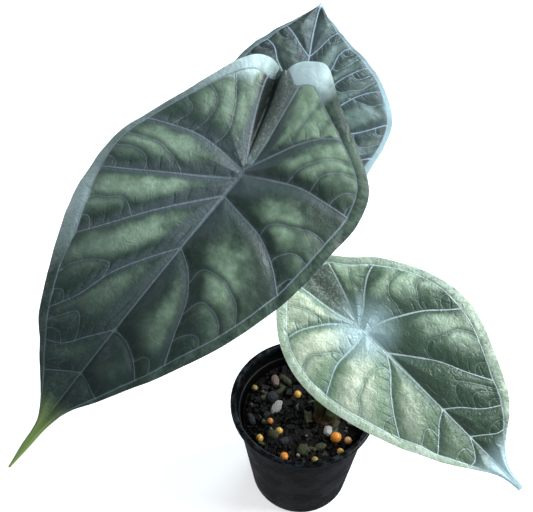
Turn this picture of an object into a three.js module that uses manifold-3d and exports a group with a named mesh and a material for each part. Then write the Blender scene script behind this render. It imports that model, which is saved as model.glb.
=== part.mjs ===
// A potted dragon scale alocasia: three quilted, veined leaves on slender stalks that
// rise from one short crown, in a round black nursery pot filled with a gritty mix.
// Millimetres, +Z up. The origin is the centre of the pot's flat underside.
import * as THREE from 'three';
import { mergeVertices } from 'three/addons/utils/BufferGeometryUtils.js';
import Module from 'manifold-3d';

const wasm = await Module();
wasm.setup();

// Driving dimensions

const POT_HEIGHT = 69;
const POT_RIM_RADIUS = 35;
const POT_BASE_RADIUS = 25;
const POT_WALL = 1.2;
const POT_LIP_WIDTH = 2.6;
const POT_LIP_HEIGHT = 2.6;
const POT_STEP_DEPTH = 8;
const POT_SIDES = 44;
const DRAIN_HOLES = 6;
const DRAIN_RADIUS = 3;
const DRAIN_CIRCLE = 17;

const GAP = 0.3;
const SOIL_TOP = 57;
const SOIL_SIDES = 36;
const SOIL_RINGS = [28.5, 24, 19, 14];
const CROWN_CENTRE = [11, -1];
const CROWN_RADIUS = 7;
const CROWN_BOTTOM = 45;
const CROWN_TOP = 60;

const STALK_SIDES = 10;
const STALK_STEPS = 18;
const STALK_FOOT_RADIUS = 2.1;
const STALK_TOP_RADIUS = 1.4;
const STALK_FOOT_LEVEL = 49;
const SHEATH_WALL = 1.1;

const BLADE_THICKNESS = 0.7;
const MARGIN_BAND = 3.6;
const ROW_FRACTIONS = [0, 0.11, 0.22, 0.34, 0.46, 0.58, 0.7, 0.81, 0.9, 1];
const ROWS_PER_STEP = 2;

// The three blades. A blade is drawn on its own flat plane, y towards the tip and x across,
// with the stalk under the origin. Each line runs from a point on the fold in the middle to
// the margin on the plus side and on the minus side, and the lines follow each other from
// the tip round to the notch. Where veins names a side, that line is one of its main veins.

const LARGE_LEAF = {
  name: 'a',
  stalkTop: [-24.8, -26.1, 236.2],
  heading: 226, tilt: 25, roll: 20,
  fold: 0.25, arch: 0.005, droop: 0.001, backRise: 0.004, skew: 0.35,
  pillow: 2.1, cleft: 5.5,
  lines: [
    { at: [0, 111], plus: [[0.5, 110.8]], minus: [[-0.5, 110.8]], veins: '' },
    { at: [0, 104], plus: [[1.2, 103.5]], minus: [[-1.2, 103.5]], veins: '' },
    { at: [0, 96], plus: [[1.9, 95.4]], minus: [[-2, 95.2]], veins: '' },
    { at: [0, 88], plus: [[2.4, 88.6], [5.2, 88.6]], minus: [[-2, 87.4], [-4.3, 87]], veins: '' },
    { at: [0, 76], plus: [[4, 78.5], [10, 82.7]], minus: [[-4, 77.2], [-9, 79.3]], veins: '' },
    { at: [0, 60], plus: [[5, 66.5], [10, 73], [16, 75.5]],
      minus: [[-5, 60.5], [-10.5, 63.5], [-15.3, 68.5]], veins: '+-' },
    { at: [0, 44], plus: [[7, 53], [13, 64], [18.3, 72.8]],
      minus: [[-6, 48], [-13, 55], [-17.5, 65.2]], veins: '' },
    { at: [0, 29], plus: [[6, 38], [11.5, 48], [15, 59], [20.8, 69.5]],
      minus: [[-6, 33], [-11.5, 40], [-15.5, 51], [-19.5, 61.5]], veins: '+-' },
    { at: [0, 19], plus: [[8, 31], [16, 43], [25.7, 60]],
      minus: [[-8, 22], [-18, 30], [-28, 43.5]], veins: '' },
    { at: [0, 9], plus: [[7, 17.5], [14, 26.5], [22, 38], [30.5, 49.5]],
      minus: [[-8, 10.5], [-17, 12.5], [-25, 17], [-33.6, 24.5]], veins: '+-' },
    { at: [0, 5], plus: [[10, 14], [20, 23], [35, 37.5]],
      minus: [[-11, 6], [-22, 8], [-35.2, 12.5]], veins: '' },
    { at: [0, 2.2], plus: [[8, 8], [17, 14], [27, 20.5], [37, 26.5]],
      minus: [[-11, 1.5], [-22, 1.5], [-35.7, 2.5]], veins: '+' },
    { at: [0.1, 0.7], plus: [[11, 5], [23, 9], [37.4, 16]],
      minus: [[-9, -3.5], [-17, -6.5], [-26, -7.5], [-36, -8.5]], veins: '-' },
    { at: [0.3, -0.4], plus: [[9, -1], [18, -0.5], [27, 2.5], [34.8, 5.5]],
      minus: [[-9, -8.5], [-19, -14], [-32.3, -18.5]], veins: '+' },
    { at: [0.5, -1.1], plus: [[10, -6.5], [19, -9], [29.2, -8.5]],
      minus: [[-4, -9.5], [-8, -16.5], [-13, -22.5], [-20.7, -27.8]], veins: '-' },
    { at: [0.7, -1.7], plus: [[9, -10.5], [16.5, -17], [24, -21.5]],
      minus: [[-2.8, -13], [-5.5, -24], [-9, -35.2]], veins: '' },
    { at: [0.9, -2.3], plus: [[7.3, -11.5], [13.5, -21.5], [19.5, -30.8]],
      minus: [[-0.8, -13], [-1.2, -26], [-0.4, -40.2]], veins: '' },
    { at: [1.1, -3], plus: [[5, -9.5], [9, -17.5], [12, -25], [14.5, -33.5]],
      minus: [[0, -9.5], [1.3, -18], [3.3, -26.5], [6, -37.5]], veins: '+-' },
    { at: [4.3, -12], plus: [[8.5, -20.5], [13, -33.8]],
      minus: [[4, -21], [7.8, -36.3]], veins: '' },
    { at: [8, -24], plus: [[10, -28.8], [12, -33.6]],
      minus: [[8, -29], [9.3, -35]], veins: '' },
    { at: [10.7, -33.4], plus: [[11.4, -33.5]], minus: [[10, -33.9]], veins: '' },
  ],
};

const FAR_LEAF = {
  name: 'b',
  stalkTop: [-7.1, 20, 213.3],
  heading: 82, tilt: -5, roll: -5,
  fold: 0.2, arch: 0.004, droop: 0.0012, backRise: 0.002, skew: 0,
  pillow: 1.9, cleft: 4,
  lines: [
    { at: [1.5, 96], plus: [[2.3, 95.7]], minus: [[0.7, 95.7]], veins: '' },
    { at: [1, 90], plus: [[2.9, 89.4]], minus: [[-1.3, 89.4]], veins: '' },
    { at: [0.5, 82], plus: [[5.4, 81.2]], minus: [[-4.8, 82]], veins: '' },
    { at: [0, 65], plus: [[4, 70], [8.5, 74.3]], minus: [[-4, 70.5], [-8.3, 75]], veins: '' },
    { at: [0, 47], plus: [[3.5, 54], [7, 62.5], [11, 68.8]],
      minus: [[-4, 54], [-8, 62], [-12.3, 68.3]], veins: '+-' },
    { at: [0, 34], plus: [[6, 44], [9.5, 56], [13.6, 63.6]],
      minus: [[-6, 43], [-11, 54], [-15.8, 62.6]], veins: '' },
    { at: [0, 22], plus: [[6, 30], [9.5, 40], [12, 51], [17, 58.3]],
      minus: [[-7, 30], [-12, 40], [-14.5, 49], [-19.5, 55.5]], veins: '+-' },
    { at: [0, 14], plus: [[7, 25], [14, 38], [21.3, 51]],
      minus: [[-9, 22], [-17, 34], [-24, 46.3]], veins: '' },
    { at: [0, 8], plus: [[6, 19], [12, 31], [18, 38.5], [25, 44.8]],
      minus: [[-8, 14.5], [-16, 21.5], [-23, 29.5], [-28.2, 34.5]], veins: '+-' },
    { at: [0, 5], plus: [[9, 14], [18, 24], [28.3, 37.6]],
      minus: [[-10, 9], [-20, 15], [-31, 23.5]], veins: '' },
    { at: [0, 2.6], plus: [[7, 9], [14, 17], [21, 24.5], [30.7, 30.5]],
      minus: [[-10, 4], [-21, 7.5], [-32.5, 12.5]], veins: '+' },
    { at: [0, 1], plus: [[10, 6], [21, 13], [33, 21]],
      minus: [[-10, 0], [-21, -0.5], [-33, 2]], veins: '' },
    { at: [0, -0.1], plus: [[11, 1], [22, 4], [33.8, 12]],
      minus: [[-9, -5], [-19, -8.5], [-31.3, -8]], veins: '+-' },
    { at: [0, -1], plus: [[11, -4], [22, -4.5], [32.2, 3]],
      minus: [[-8, -9], [-17, -15], [-27.5, -17.5]], veins: '' },
    { at: [0, -1.7], plus: [[9, -8], [18, -11.5], [29, -7]],
      minus: [[-6, -11], [-12.5, -19], [-21.5, -25.3]], veins: '+-' },
    { at: [0, -2.4], plus: [[6.5, -11.5], [13, -20.5], [21.5, -23.5]],
      minus: [[-4.5, -11.5], [-9, -21], [-15, -30]], veins: '' },
    { at: [0, -3], plus: [[3.5, -10.5], [6.3, -20], [9, -31.5]],
      minus: [[-3.5, -10.5], [-6, -20], [-8.5, -32]], veins: '+-' },
    { at: [0, -11], plus: [[2.8, -19.5], [5.3, -29.5]],
      minus: [[-2.8, -19.5], [-5.1, -29.7]], veins: '' },
    { at: [0, -19], plus: [[1.6, -23.3], [2.7, -26.9]],
      minus: [[-1.6, -23.3], [-2.7, -27]], veins: '' },
    { at: [0, -25], plus: [[0.8, -25.3]], minus: [[-0.8, -25.3]], veins: '' },
  ],
};

const NEAR_LEAF = {
  name: 'c',
  stalkTop: [18.5, -24.6, 156.4],
  heading: 318, tilt: 20, roll: -28,
  fold: 0.25, arch: 0.005, droop: 0.0015, backRise: -0.003, skew: -0.03,
  pillow: 1.9, cleft: 2.5,
  lines: [
    { at: [0, 82], plus: [[0.8, 81.7]], minus: [[-0.8, 81.7]], veins: '' },
    { at: [0, 77], plus: [[1.4, 76.5]], minus: [[-1.5, 76.5]], veins: '' },
    { at: [0, 72], plus: [[3.1, 71.5]], minus: [[-3, 71.5]], veins: '' },
    { at: [0, 65], plus: [[2.6, 66.8], [5.6, 67]], minus: [[-3.3, 66], [-7, 66.2]], veins: '' },
    { at: [0, 55], plus: [[2.5, 59.5], [5.2, 62.4], [8.6, 62.3]],
      minus: [[-4, 58], [-8, 61], [-12.3, 62]], veins: '+-' },
    { at: [0, 48], plus: [[4, 52], [8, 56.3], [11.5, 57.6]],
      minus: [[-5, 51], [-10, 56], [-15.5, 59.3]], veins: '' },
    { at: [0, 41], plus: [[4.5, 43.5], [9, 47.5], [14.6, 52.3]],
      minus: [[-5, 45], [-10.5, 51], [-18.4, 56.2]], veins: '+-' },
    { at: [0, 26], plus: [[6, 33], [12, 41], [17.6, 46]],
      minus: [[-8, 33], [-14, 43], [-20.6, 53.6]], veins: '' },
    { at: [0, 12], plus: [[4, 18], [9, 23], [14.5, 30], [20.7, 40]],
      minus: [[-6, 20], [-11.5, 28], [-16, 38], [-22.7, 50.5]], veins: '+-' },
    { at: [0, 6], plus: [[9, 12], [17, 19.5], [25.3, 27.5]],
      minus: [[-9, 12], [-19, 22], [-28.5, 38]], veins: '' },
    { at: [0, 3.3], plus: [[9, 6.5], [18, 10.5], [28, 18]],
      minus: [[-9, 7], [-20, 14], [-32, 30]], veins: '' },
    { at: [0, 1.2], plus: [[8, 2], [16, 2.2], [22.5, 5], [29.9, 9]],
      minus: [[-7, 3], [-14, 6.5], [-21, 11], [-27.5, 17], [-34.3, 22.5]], veins: '+-' },
    { at: [0, 0.2], plus: [[10, -2], [20, -3.2], [30.3, 0]],
      minus: [[-10, 2], [-21, 5], [-34.5, 13]], veins: '' },
    { at: [0, -0.7], plus: [[9, -6.5], [18.5, -10], [29.2, -8.5]],
      minus: [[-10, -1.3], [-21, -1.5], [-32.8, 5]], veins: '' },
    { at: [0, -1.3], plus: [[6.5, -9.5], [12.5, -14], [18.5, -17], [25.5, -18]],
      minus: [[-9, -4.5], [-18, -6.5], [-29.8, -2.8]], veins: '+' },
    { at: [0, -1.9], plus: [[5.3, -11.5], [11, -19.5], [19.5, -25.8]],
      minus: [[-6, -5.8], [-11, -10], [-16, -13.3], [-22.5, -15]], veins: '-' },
    { at: [0, -2.5], plus: [[3.8, -12], [7.5, -22], [13, -31.5]],
      minus: [[-4.7, -9.5], [-9.7, -16], [-16, -21.7]], veins: '' },
    { at: [0, -3.1], plus: [[2.2, -9.5], [3.5, -16], [4.4, -24], [6, -34]],
      minus: [[-3, -10], [-5.7, -17], [-8, -24], [-9.7, -30]], veins: '+-' },
    { at: [-0.3, -11], plus: [[1.7, -20], [3.3, -33.6]],
      minus: [[-3, -20], [-5.8, -31.3]], veins: '' },
    { at: [-0.7, -22], plus: [[0.6, -27], [1.5, -32.6]],
      minus: [[-2.2, -27], [-3.4, -31.6]], veins: '' },
    { at: [-0.9, -31.2], plus: [[-0.1, -31.5]], minus: [[-1.7, -31.5]], veins: '' },
  ],
};

// Stalk routes from the crown up to the underside of each blade, by hand: foot, then bends.

const STALK_ROUTES = {
  a: [[8.6, -0.6, STALK_FOOT_LEVEL], [8.2, -0.5, 64], [4, 0, 100], [-6.5, -0.5, 150], [-19, -9, 200]],
  b: [[11.7, 2.1, STALK_FOOT_LEVEL], [11.6, 2.4, 64], [8.5, 7, 100], [2, 14, 150], [-4.5, 19.5, 192]],
  c: [[13, -3.2, STALK_FOOT_LEVEL], [13.2, -3.5, 64], [14.5, -8.5, 90], [17, -14, 118], [19.2, -19, 138]],
};

const COLOURS = {
  pot: { color: 0x0d0f12, roughness: 0.45, metalness: 0 },
  soil: { color: 0x17130f, roughness: 0.95, metalness: 0 },
  crown: { color: 0x3b4a2a, roughness: 0.6, metalness: 0 },
  stalk: { color: 0x5d7a4a, roughness: 0.5, metalness: 0 },
  a: { color: 0x3f574f, roughness: 0.42, metalness: 0 },
  b: { color: 0x46605e, roughness: 0.4, metalness: 0 },
  c: { color: 0x7f9a7c, roughness: 0.42, metalness: 0 },
};

// Solids, and joining and cutting them

function solidFrom(geometry) {
  const bare = geometry.clone();
  bare.deleteAttribute('normal');
  bare.deleteAttribute('uv');
  const welded = mergeVertices(bare, 1e-4);
  return new wasm.Manifold(new wasm.Mesh({
    numProp: 3,
    vertProperties: new Float32Array(welded.attributes.position.array),
    triVerts: new Uint32Array(welded.index.array),
  }));
}

function geometryFrom(solid) {
  const mesh = solid.getMesh();
  const geometry = new THREE.BufferGeometry();
  geometry.setAttribute('position', new THREE.BufferAttribute(mesh.vertProperties, 3));
  geometry.setIndex(new THREE.BufferAttribute(mesh.triVerts, 1));
  geometry.computeVertexNormals();
  return geometry;
}

function joined(solids) {
  return solids.reduce((whole, next) => whole.add(next));
}

/** The largest body of a cut solid, without the loose scraps that the cut left. */
function mainBody(solid) {
  return solid.decompose().reduce((best, next) => (next.volume() > best.volume() ? next : best));
}

/** A seeded row of numbers between 0 and 1, the same on every run. */
function seeded(seed) {
  let state = seed;
  return () => {
    state = (state * 1664525 + 1013904223) % 4294967296;
    return state / 4294967296;
  };
}

function upright(geometry, x, y, z) {
  geometry.rotateX(Math.PI / 2);
  geometry.translate(x, y, z);
  return geometry;
}

function turned(profile, sides) {
  const points = profile.map(([radius, level]) => new THREE.Vector2(radius, level));
  return upright(new THREE.LatheGeometry(points, sides), 0, 0, 0);
}

// Pot

function outerRadius(level) {
  const share = level / (POT_HEIGHT - POT_LIP_HEIGHT);
  return POT_BASE_RADIUS + (POT_RIM_RADIUS - POT_LIP_WIDTH - POT_BASE_RADIUS) * share;
}

function potGeometry() {
  const lipFoot = POT_HEIGHT - POT_LIP_HEIGHT;
  const step = POT_HEIGHT - POT_STEP_DEPTH;
  const inside = (level) => outerRadius(level) - POT_WALL;
  const shell = turned([
    [0, 0],
    [POT_BASE_RADIUS - 1, 0],
    [outerRadius(1), 1],
    [outerRadius(lipFoot), lipFoot],
    [POT_RIM_RADIUS - 0.3, lipFoot],
    [POT_RIM_RADIUS, lipFoot + 0.7],
    [POT_RIM_RADIUS - 0.2, POT_HEIGHT - 0.5],
    [POT_RIM_RADIUS - 0.9, POT_HEIGHT],
    [inside(lipFoot) + 0.7, POT_HEIGHT - 0.6],
    [inside(step) + 0.4, step + 0.6],
    [inside(step), step],
    [inside(POT_WALL), POT_WALL],
    [0, POT_WALL],
  ], POT_SIDES);
  let pot = solidFrom(shell);
  for (let index = 0; index < DRAIN_HOLES; index += 1) {
    const angle = (index + 0.5) / DRAIN_HOLES * 2 * Math.PI;
    const x = DRAIN_CIRCLE * Math.cos(angle);
    const y = DRAIN_CIRCLE * Math.sin(angle);
    const drill = upright(new THREE.CylinderGeometry(DRAIN_RADIUS, DRAIN_RADIUS, 4, 10), x, y, 0.6);
    pot = pot.subtract(solidFrom(drill));
  }
  return geometryFrom(pot);
}

// Soil: a plug with an uneven top, and the beads and grit that lie half sunk in it

// Beads of feed and larger stones where the photograph shows them: x, y, radius.
const BEADS = [
  [15, -15.8, 2.7], [20.6, -17.6, 1.9], [-11.7, -12.2, 2], [-2.4, 7.9, 2], [-9.6, -25, 2.1],
  [-15.9, -7, 1.7], [-21, -15.7, 1.8], [16.7, -23, 1.7], [4.6, -27.2, 1.7], [-23.6, 12.3, 1.6],
];
// Stones: x, y, half length, half width, turn in degrees.
const STONES = [
  [-12.6, 1.2, 3.6, 1.9, 60], [-13.4, 15.8, 2.7, 1.7, 100], [11.4, -12.2, 2.1, 1.7, 80],
  [-9.5, -17.8, 1.9, 1.5, 20], [-15, 6.8, 2.6, 2.3, 40], [-8.5, 16.4, 3, 1.5, 140],
  [-14.4, -14.2, 2.6, 2, 150], [-1.2, -22, 2.4, 1.9, 70], [7.3, -20, 2.2, 1.5, 20],
  [15.2, -8.6, 2.3, 1.4, 60], [23, -7, 1.9, 1.5, 0], [-25, -5.5, 2.7, 1.4, 110],
];
const GRIT_COUNT = 34;
const GRIT_SEED = 11;

function soilLevel(x, y) {
  const swell = Math.sin(x * 0.21 + 1) * Math.cos(y * 0.19 - 0.6);
  return SOIL_TOP + 0.8 * swell + 0.5 * Math.sin(x * 0.43 - y * 0.37);
}

function plugGeometry() {
  const side = outerRadius(SOIL_TOP - 2) - POT_WALL - GAP - 0.1;
  const foot = outerRadius(POT_WALL + GAP) - POT_WALL - GAP - 0.1;
  const profile = [[0, POT_WALL + GAP], [foot, POT_WALL + GAP], [side, SOIL_TOP - 2]];
  SOIL_RINGS.forEach((radius) => profile.push([radius, SOIL_TOP]));
  profile.push([0, SOIL_TOP]);
  const plug = turned(profile, SOIL_SIDES);
  const position = plug.attributes.position;
  for (let index = 0; index < position.count; index += 1) {
    if (position.getZ(index) > SOIL_TOP - 1) {
      position.setZ(index, soilLevel(position.getX(index), position.getY(index)));
    }
  }
  return plug;
}

function soilGeometry() {
  const random = seeded(GRIT_SEED);
  const bits = [solidFrom(plugGeometry())];
  BEADS.forEach(([x, y, radius]) => {
    const bead = new THREE.IcosahedronGeometry(radius, 0);
    bead.translate(x, y, soilLevel(x, y) + radius * 0.3);
    bits.push(solidFrom(bead));
  });
  STONES.forEach(([x, y, length, width, turn]) => {
    const stone = new THREE.IcosahedronGeometry(1, 0);
    stone.scale(length, width, width * 0.9);
    stone.rotateZ(THREE.MathUtils.degToRad(turn));
    stone.translate(x, y, soilLevel(x, y) + width * 0.15);
    bits.push(solidFrom(stone));
  });
  for (let index = 0; index < GRIT_COUNT; index += 1) {
    const reach = 27 * Math.sqrt(random());
    const angle = 2 * Math.PI * random();
    const grain = new THREE.OctahedronGeometry(1, 0);
    grain.scale(1.2 + 1.6 * random(), 1 + 0.9 * random(), 1 + 0.8 * random());
    grain.rotateZ(Math.PI * random());
    const x = reach * Math.cos(angle);
    const y = reach * Math.sin(angle);
    grain.translate(x, y, soilLevel(x, y));
    bits.push(solidFrom(grain));
  }
  const holeHeight = 30;
  const hole = upright(
    new THREE.CylinderGeometry(CROWN_RADIUS + GAP, CROWN_RADIUS + GAP, holeHeight, 20),
    CROWN_CENTRE[0], CROWN_CENTRE[1], CROWN_BOTTOM - GAP + holeHeight / 2,
  );
  return geometryFrom(mainBody(joined(bits).subtract(solidFrom(hole))));
}

// Smooth curves through hand-set points

function knotsAlong(points) {
  const knots = [0];
  for (let index = 1; index < points.length; index += 1) {
    knots.push(knots[index - 1] + points[index].distanceTo(points[index - 1]));
  }
  return knots;
}

/** The point at a place among the knots, on cubic pieces that take their slopes from both sides. */
function pointAt(points, knots, place) {
  const last = points.length - 1;
  let piece = 0;
  while (piece < last - 1 && place > knots[piece + 1]) piece += 1;
  const slope = (index) => {
    const before = Math.max(index - 1, 0);
    const after = Math.min(index + 1, last);
    return points[after].clone().sub(points[before]).divideScalar(knots[after] - knots[before]);
  };
  const span = knots[piece + 1] - knots[piece];
  const t = (place - knots[piece]) / span;
  const t2 = t * t;
  const t3 = t2 * t;
  return points[piece].clone().multiplyScalar(2 * t3 - 3 * t2 + 1)
    .addScaledVector(slope(piece), (t3 - 2 * t2 + t) * span)
    .addScaledVector(points[piece + 1], 3 * t2 - 2 * t3)
    .addScaledVector(slope(piece + 1), (t3 - t2) * span);
}

// Blades

/** One side of a blade as a net of points: rows from the fold out to the margin. */
function sideNet(leaf, side) {
  const lines = leaf.lines.map((line) => [line.at, ...line[side]].map(([x, y]) => new THREE.Vector2(x, y)));
  const knots = knotsAlong(lines.map((points) => points[points.length - 1]));
  const columns = ROW_FRACTIONS.map((fraction) => lines.map((points) => {
    const along = knotsAlong(points);
    return pointAt(points, along, fraction * along[along.length - 1]);
  }));
  const rows = [];
  const steps = (lines.length - 1) * ROWS_PER_STEP;
  for (let row = 0; row <= steps; row += 1) {
    const step = Math.min(Math.floor(row / ROWS_PER_STEP), lines.length - 2);
    const share = row / ROWS_PER_STEP - step;
    const place = knots[step] + share * (knots[step + 1] - knots[step]);
    rows.push(columns.map((column) => pointAt(column, knots, place)));
  }
  return rows;
}

/** Midrib, side veins and the vein that runs along inside the margin, as point lists. */
function veinsOf(leaf, plusRows, minusRows) {
  const veins = [];
  const marginal = ROW_FRACTIONS.length - 2;
  const midribRows = leaf.lines.findIndex((line) => line.at[1] < 0) * ROWS_PER_STEP;
  veins.push(plusRows.slice(0, midribRows + 1).map((row) => row[0]));
  leaf.lines.forEach((line, index) => {
    const row = index * ROWS_PER_STEP;
    if (line.veins.includes('+')) veins.push(plusRows[row].slice(0, marginal + 1));
    if (line.veins.includes('-')) veins.push(minusRows[row].slice(0, marginal + 1));
  });
  return veins;
}

function distanceTo(lines, point) {
  let nearest = Infinity;
  const closest = new THREE.Vector2();
  for (const line of lines) {
    for (let index = 1; index < line.length; index += 1) {
      const start = line[index - 1];
      const run = line[index].clone().sub(start);
      const share = point.clone().sub(start).dot(run) / Math.max(run.lengthSq(), 1e-9);
      closest.copy(start).addScaledVector(run, THREE.MathUtils.clamp(share, 0, 1));
      nearest = Math.min(nearest, closest.distanceTo(point));
    }
  }
  return nearest;
}

/** Height of the blade's broad shape over its plane: folded at the midrib, arched and drooping. */
function broadHeight(leaf, x, y) {
  const behind = Math.max(-y, 0);
  const across = x - leaf.skew * behind;
  const soft = 4;
  const fold = leaf.fold * (Math.hypot(across, soft) - soft);
  const lengthwise = y > 0 ? -leaf.droop * y * y : leaf.backRise * y * y;
  const wedge = 0.12 * behind + 1;
  const inCleft = Math.exp(-((across / wedge) ** 2));
  const cleft = leaf.cleft * THREE.MathUtils.smoothstep(behind, 2, 26) * inCleft;
  return fold - leaf.arch * across * across + lengthwise - cleft;
}

/** Quilting: the blade swells between its veins and dips along them, less so at the margin. */
function quilting(leaf, veins, point, fraction) {
  const swell = 1 - Math.exp(-distanceTo(veins, point) / 4.5);
  const towardsMargin = THREE.MathUtils.smoothstep(fraction, 0.55, 0.9);
  const edge = Math.max(fraction - 0.9, 0) / 0.1;
  return leaf.pillow * swell * (1 - 0.6 * towardsMargin) - 0.9 * edge * edge;
}

function bladeGeometry(leaf) {
  const plusRows = sideNet(leaf, 'plus');
  const minusRows = sideNet(leaf, 'minus');
  const veins = veinsOf(leaf, plusRows, minusRows);
  const reach = ROW_FRACTIONS.length - 1;
  const width = 2 * reach + 1;
  const top = [];
  plusRows.forEach((plusRow, row) => {
    for (let column = -reach; column <= reach; column += 1) {
      const point = column < 0 ? minusRows[row][-column] : plusRow[column];
      const fraction = ROW_FRACTIONS[Math.abs(column)];
      const height = broadHeight(leaf, point.x, point.y) + quilting(leaf, veins, point, fraction);
      top.push(new THREE.Vector3(point.x, point.y, height));
    }
  });
  const bottom = top.map((point) => {
    const nudge = 0.4;
    const here = broadHeight(leaf, point.x, point.y);
    const slopeX = (broadHeight(leaf, point.x + nudge, point.y) - here) / nudge;
    const slopeY = (broadHeight(leaf, point.x, point.y + nudge) - here) / nudge;
    const depth = BLADE_THICKNESS * Math.min(Math.hypot(1, slopeX, slopeY) + 0.1, 1.8);
    return new THREE.Vector3(point.x, point.y, point.z - depth);
  });
  return shellBetween(top, bottom, plusRows.length, width);
}

/** A closed shell from two nets split into triangles alike, walled all round. */
function shellBetween(top, bottom, rowCount, width) {
  const vertices = [...top, ...bottom];
  const under = top.length;
  const faces = [];
  const quad = (a, b, c, d) => faces.push(a, b, c, a, c, d);
  for (let row = 0; row < rowCount - 1; row += 1) {
    for (let column = 0; column < width - 1; column += 1) {
      const a = row * width + column;
      const b = a + 1;
      const c = b + width;
      const d = a + width;
      quad(a, d, c, b);
      quad(under + a, under + b, under + c, under + d);
    }
  }
  const rim = [];
  for (let column = 0; column < width - 1; column += 1) rim.push(column);
  for (let row = 0; row < rowCount - 1; row += 1) rim.push(row * width + width - 1);
  for (let column = width - 1; column > 0; column -= 1) rim.push((rowCount - 1) * width + column);
  for (let row = rowCount - 1; row > 0; row -= 1) rim.push(row * width);
  rim.forEach((from, index) => {
    const to = rim[(index + 1) % rim.length];
    quad(from, to, under + to, under + from);
  });
  const geometry = new THREE.BufferGeometry().setFromPoints(vertices);
  geometry.setIndex(faces);
  geometry.computeVertexNormals();
  return geometry;
}

/** The blade plane's axes: y points to the tip, z is the upper side's normal. */
function bladeAxes(leaf) {
  const [heading, tilt, roll] = [leaf.heading, leaf.tilt, leaf.roll].map(THREE.MathUtils.degToRad);
  const [ch, sh, ct, st] = [Math.cos(heading), Math.sin(heading), Math.cos(tilt), Math.sin(tilt)];
  const y = new THREE.Vector3(ch * ct, sh * ct, -st);
  const level = new THREE.Vector3(ch * st, sh * st, ct);
  const side = new THREE.Vector3().crossVectors(y, level);
  const x = side.clone().multiplyScalar(Math.cos(roll)).addScaledVector(level, Math.sin(roll));
  const z = new THREE.Vector3().crossVectors(x, y);
  return { x, y, z };
}

// Stalks and crown

function stalkPath(leaf, footDrop = 0) {
  const { z } = bladeAxes(leaf);
  const under = new THREE.Vector3(...leaf.stalkTop);
  const top = under.clone().addScaledVector(z, -(BLADE_THICKNESS * 1.1 + GAP));
  const neck = under.clone().addScaledVector(z, -9);
  const bends = STALK_ROUTES[leaf.name].map((point) => new THREE.Vector3(...point));
  bends[0].z -= footDrop;
  return new THREE.CatmullRomCurve3([...bends, neck, top]);
}

/** A round rod along a path, its radius given by a function of the share of the way along. */
function rodAlong(path, radiusAt, steps) {
  const circle = new THREE.Shape();
  circle.absarc(0, 0, 1, 0, 2 * Math.PI, false);
  const rod = new THREE.ExtrudeGeometry(circle, {
    steps, curveSegments: STALK_SIDES / 2, extrudePath: path, bevelEnabled: false,
  });
  const stations = path.getSpacedPoints(steps);
  const position = rod.attributes.position;
  const vertex = new THREE.Vector3();
  for (let index = 0; index < position.count; index += 1) {
    vertex.fromBufferAttribute(position, index);
    let nearest = 0;
    stations.forEach((station, place) => {
      if (station.distanceTo(vertex) < stations[nearest].distanceTo(vertex)) nearest = place;
    });
    const radius = radiusAt(nearest / steps);
    vertex.sub(stations[nearest]).multiplyScalar(radius).add(stations[nearest]);
    position.setXYZ(index, vertex.x, vertex.y, vertex.z);
  }
  return rod;
}

function stalkRadius(share) {
  return THREE.MathUtils.lerp(STALK_FOOT_RADIUS, STALK_TOP_RADIUS, share ** 0.8);
}

function stalkGeometry(leaf) {
  return geometryFrom(solidFrom(rodAlong(stalkPath(leaf), stalkRadius, STALK_STEPS)));
}

/** The first stretch of a stalk's path, for the sheath round its foot. */
function footPath(leaf, share) {
  const path = stalkPath(leaf);
  const points = [];
  for (let index = 0; index <= 6; index += 1) points.push(path.getPointAt(share * index / 6));
  return new THREE.CatmullRomCurve3(points);
}

function crownGeometry(leaves) {
  const corm = turned([
    [0, CROWN_BOTTOM], [CROWN_RADIUS - 2, CROWN_BOTTOM], [CROWN_RADIUS, CROWN_BOTTOM + 3],
    [CROWN_RADIUS, SOIL_TOP - 1], [CROWN_RADIUS - 1, CROWN_TOP - 1], [0, CROWN_TOP],
  ], 16);
  corm.translate(CROWN_CENTRE[0], CROWN_CENTRE[1], 0);
  let crown = solidFrom(corm);
  const sheathReach = { a: 0.14, b: 0.12, c: 0.19 };
  const bore = STALK_FOOT_RADIUS + GAP;
  leaves.forEach((leaf) => {
    const shape = (share) => bore + SHEATH_WALL * (1 - 0.35 * share);
    crown = crown.add(solidFrom(rodAlong(footPath(leaf, sheathReach[leaf.name]), shape, 8)));
  });
  leaves.forEach((leaf) => {
    const loose = (share) => stalkRadius(share) + GAP;
    crown = crown.subtract(solidFrom(rodAlong(stalkPath(leaf, GAP), loose, STALK_STEPS)));
  });
  return geometryFrom(crown);
}

// The whole plant in its pot

function piece(name, geometry, look) {
  const mesh = new THREE.Mesh(geometry, new THREE.MeshStandardMaterial(look));
  mesh.name = name;
  return mesh;
}

const plant = new THREE.Group();
const leaves = [LARGE_LEAF, FAR_LEAF, NEAR_LEAF];
plant.add(piece('pot', potGeometry(), COLOURS.pot));
plant.add(piece('soil', soilGeometry(), COLOURS.soil));
plant.add(piece('crown', crownGeometry(leaves), COLOURS.crown));
leaves.forEach((leaf) => {
  plant.add(piece(`stalk_${leaf.name}`, stalkGeometry(leaf), COLOURS.stalk));
  const blade = piece(`leaf_${leaf.name}`, bladeGeometry(leaf), COLOURS[leaf.name]);
  const { x, y, z } = bladeAxes(leaf);
  blade.quaternion.setFromRotationMatrix(new THREE.Matrix4().makeBasis(x, y, z));
  blade.position.set(...leaf.stalkTop);
  plant.add(blade);
});

export default plant;
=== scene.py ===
# %% [markdown]
# A potted dragon scale alocasia. Three quilted leaves stand on slender stalks over a small black
# nursery pot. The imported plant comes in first, as a fixed frame: it says how large everything is
# and where it stands. All that follows is built around it, in metres, in the same place.

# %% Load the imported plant
import math
import random
import bpy
import numpy as np
from mathutils import Matrix, Vector, noise


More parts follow.
